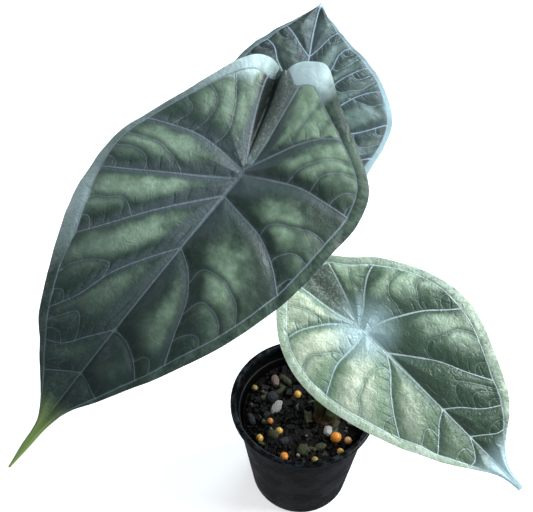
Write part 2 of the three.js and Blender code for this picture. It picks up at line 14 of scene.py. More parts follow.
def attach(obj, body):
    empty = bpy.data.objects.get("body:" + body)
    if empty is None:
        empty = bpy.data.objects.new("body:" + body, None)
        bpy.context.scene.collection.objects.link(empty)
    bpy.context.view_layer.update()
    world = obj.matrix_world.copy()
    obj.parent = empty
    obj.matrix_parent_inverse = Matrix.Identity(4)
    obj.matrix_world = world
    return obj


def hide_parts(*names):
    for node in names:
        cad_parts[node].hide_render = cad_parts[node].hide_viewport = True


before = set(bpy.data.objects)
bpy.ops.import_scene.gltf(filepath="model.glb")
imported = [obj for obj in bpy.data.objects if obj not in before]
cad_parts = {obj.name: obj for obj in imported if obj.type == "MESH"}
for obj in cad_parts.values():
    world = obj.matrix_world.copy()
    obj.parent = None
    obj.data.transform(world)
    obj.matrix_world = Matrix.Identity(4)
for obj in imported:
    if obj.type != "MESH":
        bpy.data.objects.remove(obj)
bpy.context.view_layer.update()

print("The frame holds", sorted(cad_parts))

# %% [markdown]
# Operators act on whatever is selected, and the loaded frame is still selected. So each step
# clears the selection first and then picks its one piece. Lengths are written in millimetres,
# as on a drawing, and turned into metres where they meet Blender.

# %% Small helpers for working by hand
MM = 0.001


def clear_selection():
    if bpy.context.object and bpy.context.object.mode != "OBJECT":
        bpy.ops.object.mode_set(mode="OBJECT")
    bpy.ops.object.select_all(action="DESELECT")


def pick(piece):
    clear_selection()
    piece.select_set(True)
    bpy.context.view_layer.objects.active = piece
    return piece


def new_piece(name):
    piece = bpy.context.object
    piece.name = name
    piece.data.name = name
    return piece


def apply_place(piece):
    pick(piece)
    bpy.ops.object.transform_apply(location=True, rotation=True, scale=True)
    return piece


def apply_modifier(piece, kind, **settings):
    pick(piece)
    modifier = piece.modifiers.new(kind.lower(), kind)
    for setting, value in settings.items():
        setattr(modifier, setting, value)
    bpy.ops.object.modifier_apply(modifier=modifier.name)
    return piece


def corners_of(piece):
    places = np.empty(len(piece.data.vertices) * 3)
    piece.data.vertices.foreach_get("co", places)
    return places.reshape(-1, 3)


def move_corners(piece, places):
    piece.data.vertices.foreach_set("co", np.asarray(places, float).ravel())
    piece.data.update()


def enter_edit(piece, action="SELECT"):
    pick(piece)
    bpy.ops.object.mode_set(mode="EDIT")
    bpy.ops.mesh.select_all(action=action)


def leave_edit():
    bpy.ops.object.mode_set(mode="OBJECT")


def smooth(piece, sharp_over=180):
    """Shade a piece smooth, but keep edges that turn by more degrees than this sharp."""
    pick(piece)
    if sharp_over < 180:
        bpy.ops.object.shade_smooth_by_angle(angle=math.radians(sharp_over))
    else:
        bpy.ops.object.shade_smooth()


def merge_pieces(pieces, name):
    clear_selection()
    for piece in pieces:
        piece.select_set(True)
    bpy.context.view_layer.objects.active = pieces[0]
    bpy.ops.object.join()
    return new_piece(name)


def hand_over(piece, material, slot, *nodes):
    """The last step for every piece: its finish, the body it rides on and what it stands for."""
    if material:
        piece.data.materials.append(material)
    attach(piece, "root")
    if nodes:
        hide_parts(*nodes)
    print(piece.name, "has", len(piece.data.polygons), "faces")


# %% [markdown]
# The photograph looks down on the plant from in front, at rather more than half way to straight
# down, through a lens of ordinary length. Its place was worked out from the ellipse of the
# pot's rim, and the frame is a little wider than it is high.

# %% Camera
LENS = 54.03
SENSOR = 36.0
CAMERA_PLACE = (-17.7, -206.0, 397.0)
CAMERA_PITCH = 42.3
NEAREST_IN_VIEW = 0.01

clear_selection()
bpy.ops.object.camera_add(location=[value * MM for value in CAMERA_PLACE])
camera = bpy.context.object
camera.name = "camera"
camera.rotation_euler = (math.radians(CAMERA_PITCH), 0, 0)
camera.data.lens = LENS
camera.data.sensor_width = SENSOR
camera.data.sensor_fit = "HORIZONTAL"
camera.data.clip_start = NEAREST_IN_VIEW
camera.data.dof.use_dof = False
bpy.context.scene.camera = camera
print("Camera stands at", [round(value, 3) for value in camera.location])

# %% [markdown]
# Glossy leaves show what lights them. A wide pale blue window stands low behind the plant and
# gives part of the sheen where a leaf curls away from us; the rest of that sheen is painted on
# the margins. A softbox hangs high on the right and models the quilts, a weaker window on the
# left rounds them off, and the room fills the shadows a little. The floor is plain and pale,
# and shiny leaves don't mirror it.

# %% Light and floor
PLANT_MIDDLE = (0, 0, 0.18)
WINDOWS = {
    "back_window": {"place": (0.78, 1.3, 0.78), "size": (1.0, 0.6), "radiance": 8.5,
                    "colour": (0.74, 0.93, 1.0)},
    "softbox": {"place": (0.9, 0.05, 0.92), "size": (0.7, 0.7), "radiance": 12.5,
                "colour": (0.985, 0.99, 1.0)},
    "side_window": {"place": (-1.2, 0.5, 0.6), "size": (0.7, 0.7), "radiance": 2.5,
                    "colour": (0.93, 0.94, 1.0)},
}
ROOM_COLOUR = (0.86, 0.93, 1.0, 1)
ROOM_STRENGTH = 0.3
FLOOR_SIZE = 9.0
FLOOR_COLOUR = (0.9, 0.905, 0.91, 1)
FLOOR_GLOW = 0.55


def add_window(name, place, size, radiance, colour):
    bpy.ops.object.light_add(type="AREA", location=place)
    light = bpy.context.object
    light.name = name
    light.rotation_euler = (Vector(PLANT_MIDDLE) - Vector(place)).to_track_quat("-Z", "Y").to_euler()
    light.data.shape = "RECTANGLE"
    light.data.size, light.data.size_y = size
    light.data.energy = radiance * math.pi * size[0] * size[1]
    light.data.color = colour
    return light


for name, settings in WINDOWS.items():
    add_window(name, **settings)
room = bpy.data.worlds.new("room")
bpy.context.scene.world = room
room.use_nodes = True
room.node_tree.nodes["Background"].inputs["Color"].default_value = ROOM_COLOUR
room.node_tree.nodes["Background"].inputs["Strength"].default_value = ROOM_STRENGTH
bpy.context.scene.view_settings.view_transform = "Standard"

bpy.ops.mesh.primitive_plane_add(size=FLOOR_SIZE)
floor = new_piece("floor")
floor.visible_glossy = False
print("The lights are", sorted(WINDOWS), "and the floor is", FLOOR_SIZE, "m wide")

# %% [markdown]
# A finish is a small chain of nodes. These helpers add a node, link or set its sockets, and
# do the jobs that come back all the time: a sum, a product, a soft step and a mix of colours.
# Patterns are laid out in each piece's own object coordinates, so they stay put on it.

# %% Helpers for nodes


def feed(tree, socket, value):
    if isinstance(value, bpy.types.NodeSocket):
        tree.links.new(value, socket)
    else:
        socket.default_value = value


def add_node(tree, kind, inputs=None, **settings):
    node = tree.nodes.new("ShaderNode" + kind)
    for setting, value in settings.items():
        setattr(node, setting, value)
    for socket, value in (inputs or {}).items():
        feed(tree, node.inputs[socket], value)
    return node


def maths(tree, operation, first, second=0.0, third=0.0):
    inputs = {0: first, 1: second, 2: third}
    return add_node(tree, "Math", inputs, operation=operation).outputs[0]


def times(tree, first, *others):
    for other in others:
        first = maths(tree, "MULTIPLY", first, other)
    return first


def scaled(tree, value, by, plus):
    return maths(tree, "MULTIPLY_ADD", value, by, plus)


def soft_step(tree, value, start, end, low=0.0, high=1.0):
    """From low to high as the value goes from start to end, with no corners."""
    inputs = {"Value": value, "From Min": start, "From Max": end, "To Min": low, "To Max": high}
    return add_node(tree, "MapRange", inputs, interpolation_type="SMOOTHSTEP").outputs[0]


def soft_fall(tree, value, start, end):
    return soft_step(tree, value, start, end, 1.0, 0.0)


def mix_colours(tree, share, first, second):
    node = add_node(tree, "Mix", {0: share, 6: first, 7: second}, data_type="RGBA")
    return node.outputs[2]


def named_value(tree, name):
    return add_node(tree, "Attribute", attribute_name=name).outputs["Fac"]


def place_in_piece(tree):
    return add_node(tree, "TexCoord").outputs["Object"]


def height_in_piece(tree):
    return add_node(tree, "SeparateXYZ", {0: place_in_piece(tree)}).outputs["Z"]


def noise_at(tree, size, detail=2.0, roughness=0.5):
    """Cloudy noise with spots of about this size in millimetres."""
    inputs = {"Vector": place_in_piece(tree), "Scale": 1 / (size * MM), "Detail": detail,
              "Roughness": roughness}
    return add_node(tree, "TexNoise", inputs).outputs["Fac"]


print("Noise of 2 mm has a scale of", round(1 / (2 * MM)))

# %% [markdown]
# A material ends in one shader, and every constant is set right there. An effect that several
# materials need is a group of nodes with sockets of its own. Dyes are given as on a painter's
# chart. The first finish is the floor's: a plain pale paint that glows a little, so the plant
# stands in a light surround.

# %% Helpers for materials, and the floor's paint


def new_material(name, roughness, **sockets):
    material = bpy.data.materials.new(name)
    material.use_nodes = True
    shader = material.node_tree.nodes["Principled BSDF"]
    shader.inputs["Roughness"].default_value = roughness
    for socket, value in sockets.items():
        shader.inputs[socket.replace("_", " ")].default_value = value
    return material, material.node_tree, shader


def lead_to(tree, shader, colour, height, depth, roughness=None, strength=1.0):
    """The end of a finish: its colour, a relief so many millimetres deep, maybe its roughness."""
    feed(tree, shader.inputs["Base Color"], colour)
    if roughness is not None:
        feed(tree, shader.inputs["Roughness"], roughness)
    relief = add_node(tree, "Bump", {"Height": height, "Distance": depth * MM, "Strength": strength})
    feed(tree, shader.inputs["Normal"], relief.outputs["Normal"])


def new_group(name, inputs, outputs):
    group = bpy.data.node_groups.new(name, "ShaderNodeTree")
    for socket, value in inputs.items():
        made = group.interface.new_socket(socket, in_out="INPUT", socket_type="NodeSocketFloat")
        made.default_value = value
    for socket in outputs:
        group.interface.new_socket(socket, in_out="OUTPUT", socket_type="NodeSocketFloat")
    start = group.nodes.new("NodeGroupInput")
    end = group.nodes.new("NodeGroupOutput")
    return group, start.outputs, end.inputs


def place_group(tree, group, **inputs):
    node = tree.nodes.new("ShaderNodeGroup")
    node.node_tree = group
    for socket, value in inputs.items():
        feed(tree, node.inputs[socket.replace("_", " ")], value)
    return node.outputs


def grey(value):
    return (value, value, value, 1)


def dye(red, green, blue):
    """A colour as a painter's chart gives it, from 0 to 255, turned into light."""
    shares = [channel / 255 for channel in (red, green, blue)]
    light = [share / 12.92 if share < 0.04 else ((share + 0.055) / 1.055) ** 2.4 for share in shares]
    return (*light, 1)


FLOOR_CLOUDS = 400
floor_paint, tree, shader = new_material("floor_paint", 0.9, Specular_IOR_Level=0.1)
mottle = noise_at(tree, FLOOR_CLOUDS)
feed(tree, shader.inputs["Base Color"], mix_colours(tree, mottle, FLOOR_COLOUR, grey(0.93)))
shader.inputs["Emission Color"].default_value = grey(1)
shader.inputs["Emission Strength"].default_value = FLOOR_GLOW
floor.data.materials.append(floor_paint)
print("The floor is painted")

# %% [markdown]
# Some effects come back on several finishes, so each is made once, as a group of nodes: a
# blotchy mottle of large and small spots, fine pebbles that roughen a skin, and fibres, which
# are noise drawn out along one way of a piece. Dust, which settles on whatever faces up, is
# kept in the same way. A group's sockets say what may differ from one finish to the next.

# %% Shared effects


def per_metre(group, size):
    """A pattern's scale, from the size of its spots in millimetres."""
    return maths(group, "DIVIDE", 1 / MM, size)


def make_mottle():
    group, given, wanted = new_group("mottle", {"Large": 6.0, "Small": 1.2}, ["Mask"])
    place = place_in_piece(group)
    spots = [add_node(group, "TexNoise", {"Vector": place, "Scale": per_metre(group, given[size]),
                                          "Detail": 3.0}).outputs["Fac"] for size in ("Large", "Small")]
    both = scaled(group, spots[1], 0.4, times(group, spots[0], 0.6))
    feed(group, wanted["Mask"], soft_step(group, both, 0.36, 0.64))
    return group


def make_pebbles():
    group, given, wanted = new_group("pebbles", {"Size": 0.8}, ["Height"])
    place = place_in_piece(group)
    scale = per_metre(group, given["Size"])
    cells = add_node(group, "TexVoronoi", {"Vector": place, "Scale": scale}, feature="SMOOTH_F1")
    finer = times(group, scale, 1.7)
    grain = add_node(group, "TexNoise", {"Vector": place, "Scale": finer, "Detail": 2.0})
    domes = maths(group, "SUBTRACT", 1.0, cells.outputs["Distance"])
    feed(group, wanted["Height"], scaled(group, grain.outputs["Fac"], 0.5, domes))
    return group


def make_fibres():
    """X, Y and Z squeeze the noise along those ways: a small number draws it out into fibres."""
    inputs = {"Size": 1.0, "Detail": 4.0, "Roughness": 0.6, "X": 1.0, "Y": 1.0, "Z": 1.0}
    group, given, wanted = new_group("fibres", inputs, ["Streaks"])
    squeeze = add_node(group, "CombineXYZ", {way: given[way] for way in "XYZ"}).outputs[0]
    place = add_node(group, "VectorMath", {0: place_in_piece(group), 1: squeeze}, operation="MULTIPLY")
    noise_inputs = {"Vector": place.outputs[0], "Scale": per_metre(group, given["Size"]),
                    "Detail": given["Detail"], "Roughness": given["Roughness"]}
    feed(group, wanted["Streaks"], add_node(group, "TexNoise", noise_inputs).outputs["Fac"])
    return group


def make_dust():
    group, given, wanted = new_group("dust", {"Amount": 0.5}, ["Mask"])
    geometry = add_node(group, "NewGeometry")
    facing = add_node(group, "SeparateXYZ", {0: geometry.outputs["Normal"]}).outputs["Z"]
    specks = soft_step(group, noise_at(group, 2.2, 4.0, 0.65), 0.42, 0.68)
    facing_up = soft_step(group, facing, -0.1, 0.9)
    feed(group, wanted["Mask"], times(group, facing_up, specks, given["Amount"]))
    return group


MOTTLE = make_mottle()
PEBBLES = make_pebbles()
FIBRES = make_fibres()
DUST = make_dust()
print("Shared effects:", [group.name for group in bpy.data.node_groups])

# %% [markdown]
# The pot is a thin round cup of black plastic with a flat rolled lip, a small step inside and
# holes in its floor. It could be turned from a profile in one go, but pulling it up ring by
# ring, as on a wheel, shows every turn of the wall: each ring is extruded from the one before,
# lifted and resized. The first and the last ring close on the axis.

# %% Pot
POT_HEIGHT = 69.0
POT_RIM_RADIUS = 35.0
POT_BASE_RADIUS = 25.0
POT_WALL = 1.2
POT_LIP_WIDTH = 2.6
POT_LIP_FOOT = POT_HEIGHT - 2.6
POT_SIDES = 144
POT_CREASES = 32
DRAIN_HOLES = 6
DRAIN_RADIUS = 3.0
DRAIN_CIRCLE = 17.0
DRAIN_SIDES = 28
DRILL_LENGTH = 4.0
FLOOR_ROUNDING = 0.8
AXIS_RING = 0.3


def pull_up(name, stations, sides):
    """A round piece, ring by ring, from (radius, level) to (radius, level)."""
    clear_selection()
    radius, level = stations[0]
    bpy.ops.mesh.primitive_circle_add(vertices=sides, radius=radius * MM, location=(0, 0, level * MM))
    piece = apply_place(new_piece(name))
    enter_edit(piece)
    for next_radius, next_level in stations[1:]:
        rise = (0, 0, (next_level - level) * MM)
        bpy.ops.mesh.extrude_region_move(TRANSFORM_OT_translate={"value": rise})
        share = next_radius / radius
        bpy.ops.transform.resize(value=(share, share, 1))
        radius, level = next_radius, next_level
    bpy.ops.mesh.merge(type="CENTER")
    leave_edit()
    for vertex in piece.data.vertices:
        vertex.select = vertex.index < sides
    bpy.ops.object.mode_set(mode="EDIT")
    bpy.ops.mesh.merge(type="CENTER")
    bpy.ops.mesh.select_all(action="SELECT")
    bpy.ops.mesh.normals_make_consistent(inside=False)
    leave_edit()
    return piece


def outer_radius(level):
    return POT_BASE_RADIUS + (POT_RIM_RADIUS - POT_LIP_WIDTH - POT_BASE_RADIUS) * level / POT_LIP_FOOT


def inner_radius(level):
    return outer_radius(level) - POT_WALL


wall_levels = [1, 1.6, 12, 24, 36, 48, 60, 65.9]
pot_stations = [(AXIS_RING, 0), (20, 0), (23.9, 0), (24.6, 0.3)]
pot_stations += [(outer_radius(level), level) for level in wall_levels]
pot_stations += [(32.7, 66.3), (34.3, 66.35), (34.8, 66.6), (35, 67.1), (34.95, 68.1), (34.7, 68.7),
                 (34.2, 69), (33, 69), (32.5, 68.8), (32.15, 68.3), (31.95, 67), (31.35, 61.7),
                 (31.1, 61.2), (30.7, 61), (30.45, 60.7), (inner_radius(50), 50), (inner_radius(30), 30),
                 (inner_radius(2), 2), (inner_radius(2) - FLOOR_ROUNDING, POT_WALL), (AXIS_RING, POT_WALL)]
pot = pull_up("pot_cup", pot_stations, POT_SIDES)

drills = []
for number in range(DRAIN_HOLES):
    angle = (number + 0.5) / DRAIN_HOLES * 2 * math.pi
    place = Vector((math.cos(angle), math.sin(angle), 0)) * DRAIN_CIRCLE * MM
    place.z = POT_WALL / 2 * MM
    bpy.ops.mesh.primitive_cylinder_add(vertices=DRAIN_SIDES, radius=DRAIN_RADIUS * MM,
                                        depth=DRILL_LENGTH * MM, location=place)
    drills.append(new_piece("drill"))
drill = apply_place(merge_pieces(drills, "drill"))
apply_modifier(pot, "BOOLEAN", object=drill, operation="DIFFERENCE", solver="EXACT")
bpy.data.objects.remove(drill)
smooth(pot, POT_CREASES)
print("The pot is", [round(side / MM, 1) for side in pot.dimensions], "mm")

# %% [markdown]
# Nursery plastic is nearly black but never quite: the mould leaves a fine satin skin, handling
# polishes the lip and leaves pale scuffs there, and a little dust settles. The pale blue-grey on
# the lip is partly those scuffs and partly a painted highlight along the rim. They could be
# painted on as a texture, but the height of a point is enough to say whether it is on the lip.

# %% Pot plastic
pot_plastic, tree, shader = new_material("pot_plastic", 0.4, Specular_IOR_Level=0.09)
spots = place_group(tree, MOTTLE, Large=14.0, Small=2.5)["Mask"]
black = mix_colours(tree, spots, dye(2, 3, 4), dye(7, 8, 9))
on_lip = soft_step(tree, height_in_piece(tree), (POT_HEIGHT - 3.5) * MM, (POT_HEIGHT - 0.5) * MM)
scratches = place_group(tree, FIBRES, Size=3.2, Detail=3.0, Roughness=0.55, Z=3.0)["Streaks"]
# Pale blue-grey on the lip: partly scuffs from handling, partly a painted highlight along the rim.
scuffs_and_highlight = times(tree, on_lip, soft_step(tree, scratches, 0.42, 0.7), 0.3)
scuffed_and_highlit = mix_colours(tree, scuffs_and_highlight, black, dye(70, 82, 94))
dusted = mix_colours(tree, place_group(tree, DUST, Amount=0.04)["Mask"], scuffed_and_highlit, dye(90, 84, 76))
satin = soft_step(tree, spots, 0.0, 1.0, 0.33, 0.5)
skin = place_group(tree, PEBBLES, Size=0.5)["Height"]
polished = scaled(tree, on_lip, -0.12, satin)
lead_to(tree, shader, dusted, skin, 0.02, roughness=polished, strength=0.5)
hand_over(pot, pot_plastic, "pot", "pot")

# %% [markdown]
# The potting mix fills the cup to a little below its step. It is one dark bed with an uneven
# top, and on it lie chips of bark, bits of pumice and round beads of feed. The bed is pulled
# together from the wall to the middle in many fine rings, and its top is then raised and
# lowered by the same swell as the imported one, with finer crumbs laid over it.

# %% Bed of potting mix
SOIL_TOP = 57.0
SOIL_GAP = 0.4
SOIL_SIDES = 132
SOIL_FOOT = POT_WALL + 0.3
SOIL_EDGE = 29.3
SOIL_RING_STEP = 0.5
SOIL_RINGS = 58
CRUMB_SIZE = 3.1
CRUMB_HEIGHT = 0.75
CROWN_CENTRE = (11.0, -1.0)


def soil_level(x, y):
    """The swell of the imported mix."""
    swell = math.sin(x * 0.21 + 1) * math.cos(y * 0.19 - 0.6)
    return SOIL_TOP + 0.8 * swell + 0.5 * math.sin(x * 0.43 - y * 0.37)


def crumbs(x, y):
    coarse = noise.fractal(Vector((x, y, 3.0)) / CRUMB_SIZE, 1.0, 2.0, 4)
    return CRUMB_HEIGHT * coarse - 0.25


bed_stations = [(AXIS_RING, SOIL_FOOT), (inner_radius(SOIL_FOOT) - SOIL_GAP, SOIL_FOOT)]
bed_stations += [(inner_radius(level) - SOIL_GAP, level) for level in (20, 40, 53, SOIL_TOP - 1)]
bed_stations += [(SOIL_EDGE - step * SOIL_RING_STEP, SOIL_TOP) for step in range(SOIL_RINGS)]
bed = pull_up("potting_mix", bed_stations, SOIL_SIDES)
places = corners_of(bed) / MM
for place in places:
    if place[2] > SOIL_TOP - 0.5:
        place[2] = soil_level(place[0], place[1]) + crumbs(place[0], place[1])
move_corners(bed, places * MM)
smooth(bed)

potting_mix, tree, shader = new_material("potting_mix", 0.85, Specular_IOR_Level=0.1)
spots = place_group(tree, MOTTLE, Large=4.0, Small=0.9)["Mask"]
peat = mix_colours(tree, spots, dye(4, 4, 4), dye(16, 14, 12))
crumb_tips = soft_step(tree, noise_at(tree, 0.7, 2.0), 0.66, 0.72)
crumbly = mix_colours(tree, crumb_tips, peat, dye(88, 80, 70))
damp = soft_step(tree, spots, 0.0, 1.0, 0.55, 0.95)
lead_to(tree, shader, crumbly, noise_at(tree, 0.9, 4.0, 0.7), 0.35, roughness=damp)
hand_over(bed, potting_mix, "soil", "soil")

# %% [markdown]
# What lies on the bed is broken, rolled or sifted, so a few shapes are enough if each copy is
# turned and sized by chance. Every shape starts from a primitive and is battered: a chip of
# bark is a flat block with its corners knocked about, a stone a rounded block. Each shape
# that comes back hundreds of times has only a few dozen faces.

# %% Shapes for chips and stones


def rough_shape(name, size, cuts, battering, seed, rounding):
    clear_selection()
    bpy.ops.mesh.primitive_cube_add(size=1)
    piece = new_piece(name)
    enter_edit(piece)
    bpy.ops.mesh.subdivide(number_cuts=cuts)
    bpy.ops.transform.tosphere(value=rounding)
    bpy.ops.transform.vertex_random(offset=battering, seed=seed, uniform=0.6)
    bpy.ops.transform.resize(value=size)
    leave_edit()
    return piece


def laid_copy(shape, place, turn, size, tone):
    """A copy with a mesh of its own, sized, turned and laid in its place, with a tone of its own."""
    copy = shape.copy()
    copy.data = shape.data.copy()
    bpy.context.collection.objects.link(copy)
    sized = Matrix.Diagonal((*(Vector(size) * MM), 1))
    copy.data.transform(Matrix.Translation(Vector(place) * MM) @ turn.to_4x4() @ sized)
    marks = copy.data.attributes.new("tone", "FLOAT", "POINT")
    marks.data.foreach_set("value", [tone] * len(copy.data.vertices))
    return copy


def turned_by(heading, pitch, roll):
    return (Matrix.Rotation(heading, 3, "Z") @ Matrix.Rotation(pitch, 3, "Y")
            @ Matrix.Rotation(roll, 3, "X"))


def remove_shapes(shapes):
    for shape in shapes:
        bpy.data.objects.remove(shape)


CHIP_SHAPES = [rough_shape("chip", (1, 0.62, 0.3), 1, 0.12, seed, 0.15) for seed in (11, 12, 13, 14)]
GRAIN_SHAPES = [rough_shape("grain", (1, 0.8, 0.7), 1, 0.12, seed, 0.7) for seed in (31, 32, 33)]
STONE_SHAPES = [rough_shape("stone", (1, 1, 1), 3, 0.035, seed, 0.85) for seed in (51, 52, 53, 54)]
print("A chip has", len(CHIP_SHAPES[0].data.polygons), "faces")

# %% [markdown]
# Chips and grains are strewn over the bed by a seeded rule, so they lie the same way on every
# run. A chip keeps clear of the crown and of the pot's wall, sinks a little and leans a little.

# %% Bark and grit
STREWING_SEED = 23
FULL_TURN = 6.28
CHIP_COUNT = 230
GRAIN_COUNT = 520
BED_REACH = 28.2
CROWN_CLEARING = 5.0
CHIP_CREASES = 25
GRAIN_CREASES = 40


def strewn_place(clearing, margin):
    while True:
        reach = (BED_REACH - margin) * math.sqrt(random.random())
        angle = 2 * math.pi * random.random()
        x, y = reach * math.cos(angle), reach * math.sin(angle)
        if math.dist((x, y), CROWN_CENTRE) > clearing:
            return x, y


random.seed(STREWING_SEED)
chips = []
for number in range(CHIP_COUNT):
    length = random.uniform(2.2, 6.0)
    x, y = strewn_place(CROWN_CLEARING + length / 2, length / 2)
    turn = turned_by(random.uniform(0, FULL_TURN), random.uniform(-0.35, 0.35), random.uniform(-0.4, 0.4))
    size = (length, length * random.uniform(0.6, 1.0), length * random.uniform(0.7, 1.2))
    place = (x, y, soil_level(x, y) + random.uniform(-0.3, 0.7))
    chips.append(laid_copy(CHIP_SHAPES[number % len(CHIP_SHAPES)], place, turn, size, random.random()))
bark = merge_pieces(chips, "bark_chips")
smooth(bark, CHIP_CREASES)

grains = []
for number in range(GRAIN_COUNT):
    width = random.uniform(0.7, 2.0)
    x, y = strewn_place(CROWN_CLEARING, 0.5)
    turn = turned_by(random.uniform(0, FULL_TURN), random.uniform(0, FULL_TURN), 0)
    place = (x, y, soil_level(x, y) + random.uniform(0, 0.9))
    shape = GRAIN_SHAPES[number % len(GRAIN_SHAPES)]
    grains.append(laid_copy(shape, place, turn, (width,) * 3, random.random()))
grit = merge_pieces(grains, "fine_grit")
smooth(grit, GRAIN_CREASES)
remove_shapes(CHIP_SHAPES + GRAIN_SHAPES)
print("Strewn:", CHIP_COUNT, "chips and", GRAIN_COUNT, "grains")

# %% [markdown]
# Wet bark is nearly black with a brown or olive cast, and the grit runs from black to a few
# pale crumbs. Each bit carries its own tone, a number from 0 to 1, and the colour follows it.

# %% Bark and grit finishes
bark_skin, tree, shader = new_material("bark_skin", 0.6, Specular_IOR_Level=0.15)
tone = named_value(tree, "tone")
brown = mix_colours(tree, tone, dye(4, 4, 4), dye(20, 18, 16))
olive = mix_colours(tree, soft_step(tree, tone, 0.86, 0.93), brown, dye(66, 70, 50))
streaks = place_group(tree, FIBRES, Size=0.8, Roughness=0.7, Y=0.3)["Streaks"]
streaked = mix_colours(tree, soft_step(tree, streaks, 0.5, 0.8, 0, 0.5), olive, dye(54, 49, 44))
worn = soft_step(tree, streaks, 0.3, 0.7, 0.42, 0.8)
lead_to(tree, shader, streaked, streaks, 0.3, roughness=worn)
hand_over(bark, bark_skin, "soil")

grit_skin, tree, shader = new_material("grit_skin", 0.7, Specular_IOR_Level=0.15)
tone = named_value(tree, "tone")
dark = mix_colours(tree, tone, dye(5, 5, 5), dye(28, 26, 23))
pale = mix_colours(tree, soft_step(tree, tone, 0.93, 0.97), dark, dye(120, 118, 112))
spots = place_group(tree, MOTTLE, Large=1.5, Small=0.4)["Mask"]
spotted = mix_colours(tree, times(tree, spots, 0.4), pale, dye(24, 21, 19))
lead_to(tree, shader, spotted, noise_at(tree, 0.4, 3.0), 0.15)
hand_over(grit, grit_skin, "soil")

# %% [markdown]
# A few larger stones catch the light: white pumice, blue-grey and olive ones. Each is laid
# where the photograph shows it, partly sunk, as long and as wide as it looks there. The table
# gives x, y, half length, half width, turn in degrees, and a tone for its kind.

# %% Stones
WHITE, WARM, BLUE, OLIVE = 0.05, 0.35, 0.62, 0.92
STONE_DYES = [(0.0, dye(186, 182, 180)), (0.25, dye(124, 108, 104)), (0.5, dye(44, 49, 56)),
              (0.8, dye(60, 66, 44))]
STONES = [
    (-12.6, 2.9, 3.7, 2.0, 60, WHITE), (-13.4, 17.6, 2.7, 1.7, 100, WARM),
    (11.6, -10.6, 2.2, 1.7, 80, WHITE), (-9.4, -16.3, 2.0, 1.5, 20, BLUE),
    (-15.0, 8.5, 2.6, 2.3, 40, BLUE), (-8.4, 18.2, 3.2, 1.5, 140, OLIVE),
    (-14.4, -12.7, 2.6, 2.0, 150, OLIVE), (-1.1, -20.5, 2.4, 1.9, 70, OLIVE),
    (7.5, -18.5, 2.3, 1.5, 20, OLIVE), (15.5, -7.0, 2.3, 1.4, 60, OLIVE),
    (23.3, -5.4, 2.0, 1.5, 0, WHITE), (-25.1, -3.9, 2.8, 1.4, 110, BLUE),
    (-17.5, -1.3, 1.7, 1.3, 30, BLUE), (-2.3, 3.8, 2.2, 0.9, 75, WARM),
]
STONE_SINK = 0.3
STONE_CREASES = 60
PORE_SIZE = 0.7


def colours_by_tone(tree, dyes, blend):
    """The colour that a copy's tone picks from a row of dyes, each with the tone it starts at."""
    kinds = add_node(tree, "ValToRGB", {0: named_value(tree, "tone")})
    ramp = kinds.color_ramp
    ramp.interpolation = blend
    ramp.elements.remove(ramp.elements[1])
    for number, (start, colour) in enumerate(dyes):
        stop = ramp.elements.new(start) if number else ramp.elements[0]
        stop.position = start
        stop.color = colour
    return kinds.outputs["Color"]


laid = []
for number, (x, y, length, width, turn, tone) in enumerate(STONES):
    place = (x, y, soil_level(x, y) + width * STONE_SINK)
    size = (length * 2, width * 2, width * 1.9)
    turned = turned_by(math.radians(turn), 0, 0)
    laid.append(laid_copy(STONE_SHAPES[number % len(STONE_SHAPES)], place, turned, size, tone))
stones = merge_pieces(laid, "pumice_stones")
remove_shapes(STONE_SHAPES)
smooth(stones, STONE_CREASES)

pumice, tree, shader = new_material("pumice", 0.85, Specular_IOR_Level=0.2)
kinds = colours_by_tone(tree, STONE_DYES, "CONSTANT")
cells = {"Vector": place_in_piece(tree), "Scale": 1 / (PORE_SIZE * MM)}
pores = add_node(tree, "TexVoronoi", cells).outputs["Distance"]
spots = place_group(tree, MOTTLE, Large=2.0, Small=0.6)["Mask"]
shaded = mix_colours(tree, soft_step(tree, pores, 0.35, 0.1, 0, 0.55), kinds, dye(30, 27, 25))
spotted = mix_colours(tree, times(tree, spots, 0.35), shaded, dye(70, 64, 58))
lead_to(tree, shader, spotted, pores, 0.5)
hand_over(stones, pumice, "soil")

# %% [markdown]
# The feed comes as coated beads, yellow to orange, almost round and a little sunk. A bead is
# an icosphere pressed slightly flat and given a faint dimple here and there. The shell is
# waxy: it glows a little and takes a soft highlight.

# %% Beads of feed
ORANGE, PEACH, YELLOW, DULL = 0.9, 0.65, 0.4, 0.1
BEAD_DYES = [(DULL, dye(150, 132, 70)), (YELLOW, dye(214, 168, 78)), (PEACH, dye(222, 166, 108)),
             (ORANGE, dye(226, 140, 44))]
BEADS = [
    (15.3, -14.3, 2.75, ORANGE), (20.9, -16.1, 2.0, PEACH), (-11.7, -10.6, 2.0, YELLOW),
    (-2.3, 9.6, 2.0, YELLOW), (-9.5, -23.5, 2.2, ORANGE), (-15.9, -5.4, 1.7, ORANGE),
    (-21.0, -14.2, 1.9, YELLOW), (17.0, -21.5, 1.8, YELLOW), (4.8, -25.8, 1.8, DULL),
    (-23.6, 14.1, 1.7, DULL),
]
BEAD_SINK = 0.35
BEAD_DENTS = 0.006
BEAD_SHAPE = (1, 0.97, 0.93)
beads = []
for number, (x, y, radius, tone) in enumerate(BEADS):
    clear_selection()
    bpy.ops.mesh.primitive_ico_sphere_add(subdivisions=4, radius=1)
    shape = new_piece("bead")
    enter_edit(shape)
    bpy.ops.transform.vertex_random(offset=BEAD_DENTS, seed=number, uniform=0.5)
    bpy.ops.transform.resize(value=BEAD_SHAPE)
    leave_edit()
    place = (x, y, soil_level(x, y) + radius * BEAD_SINK)
    beads.append(laid_copy(shape, place, turned_by(number, number * 0.7, 0), (radius,) * 3, tone))
    remove_shapes([shape])
feed_beads = merge_pieces(beads, "feed_beads")
smooth(feed_beads)

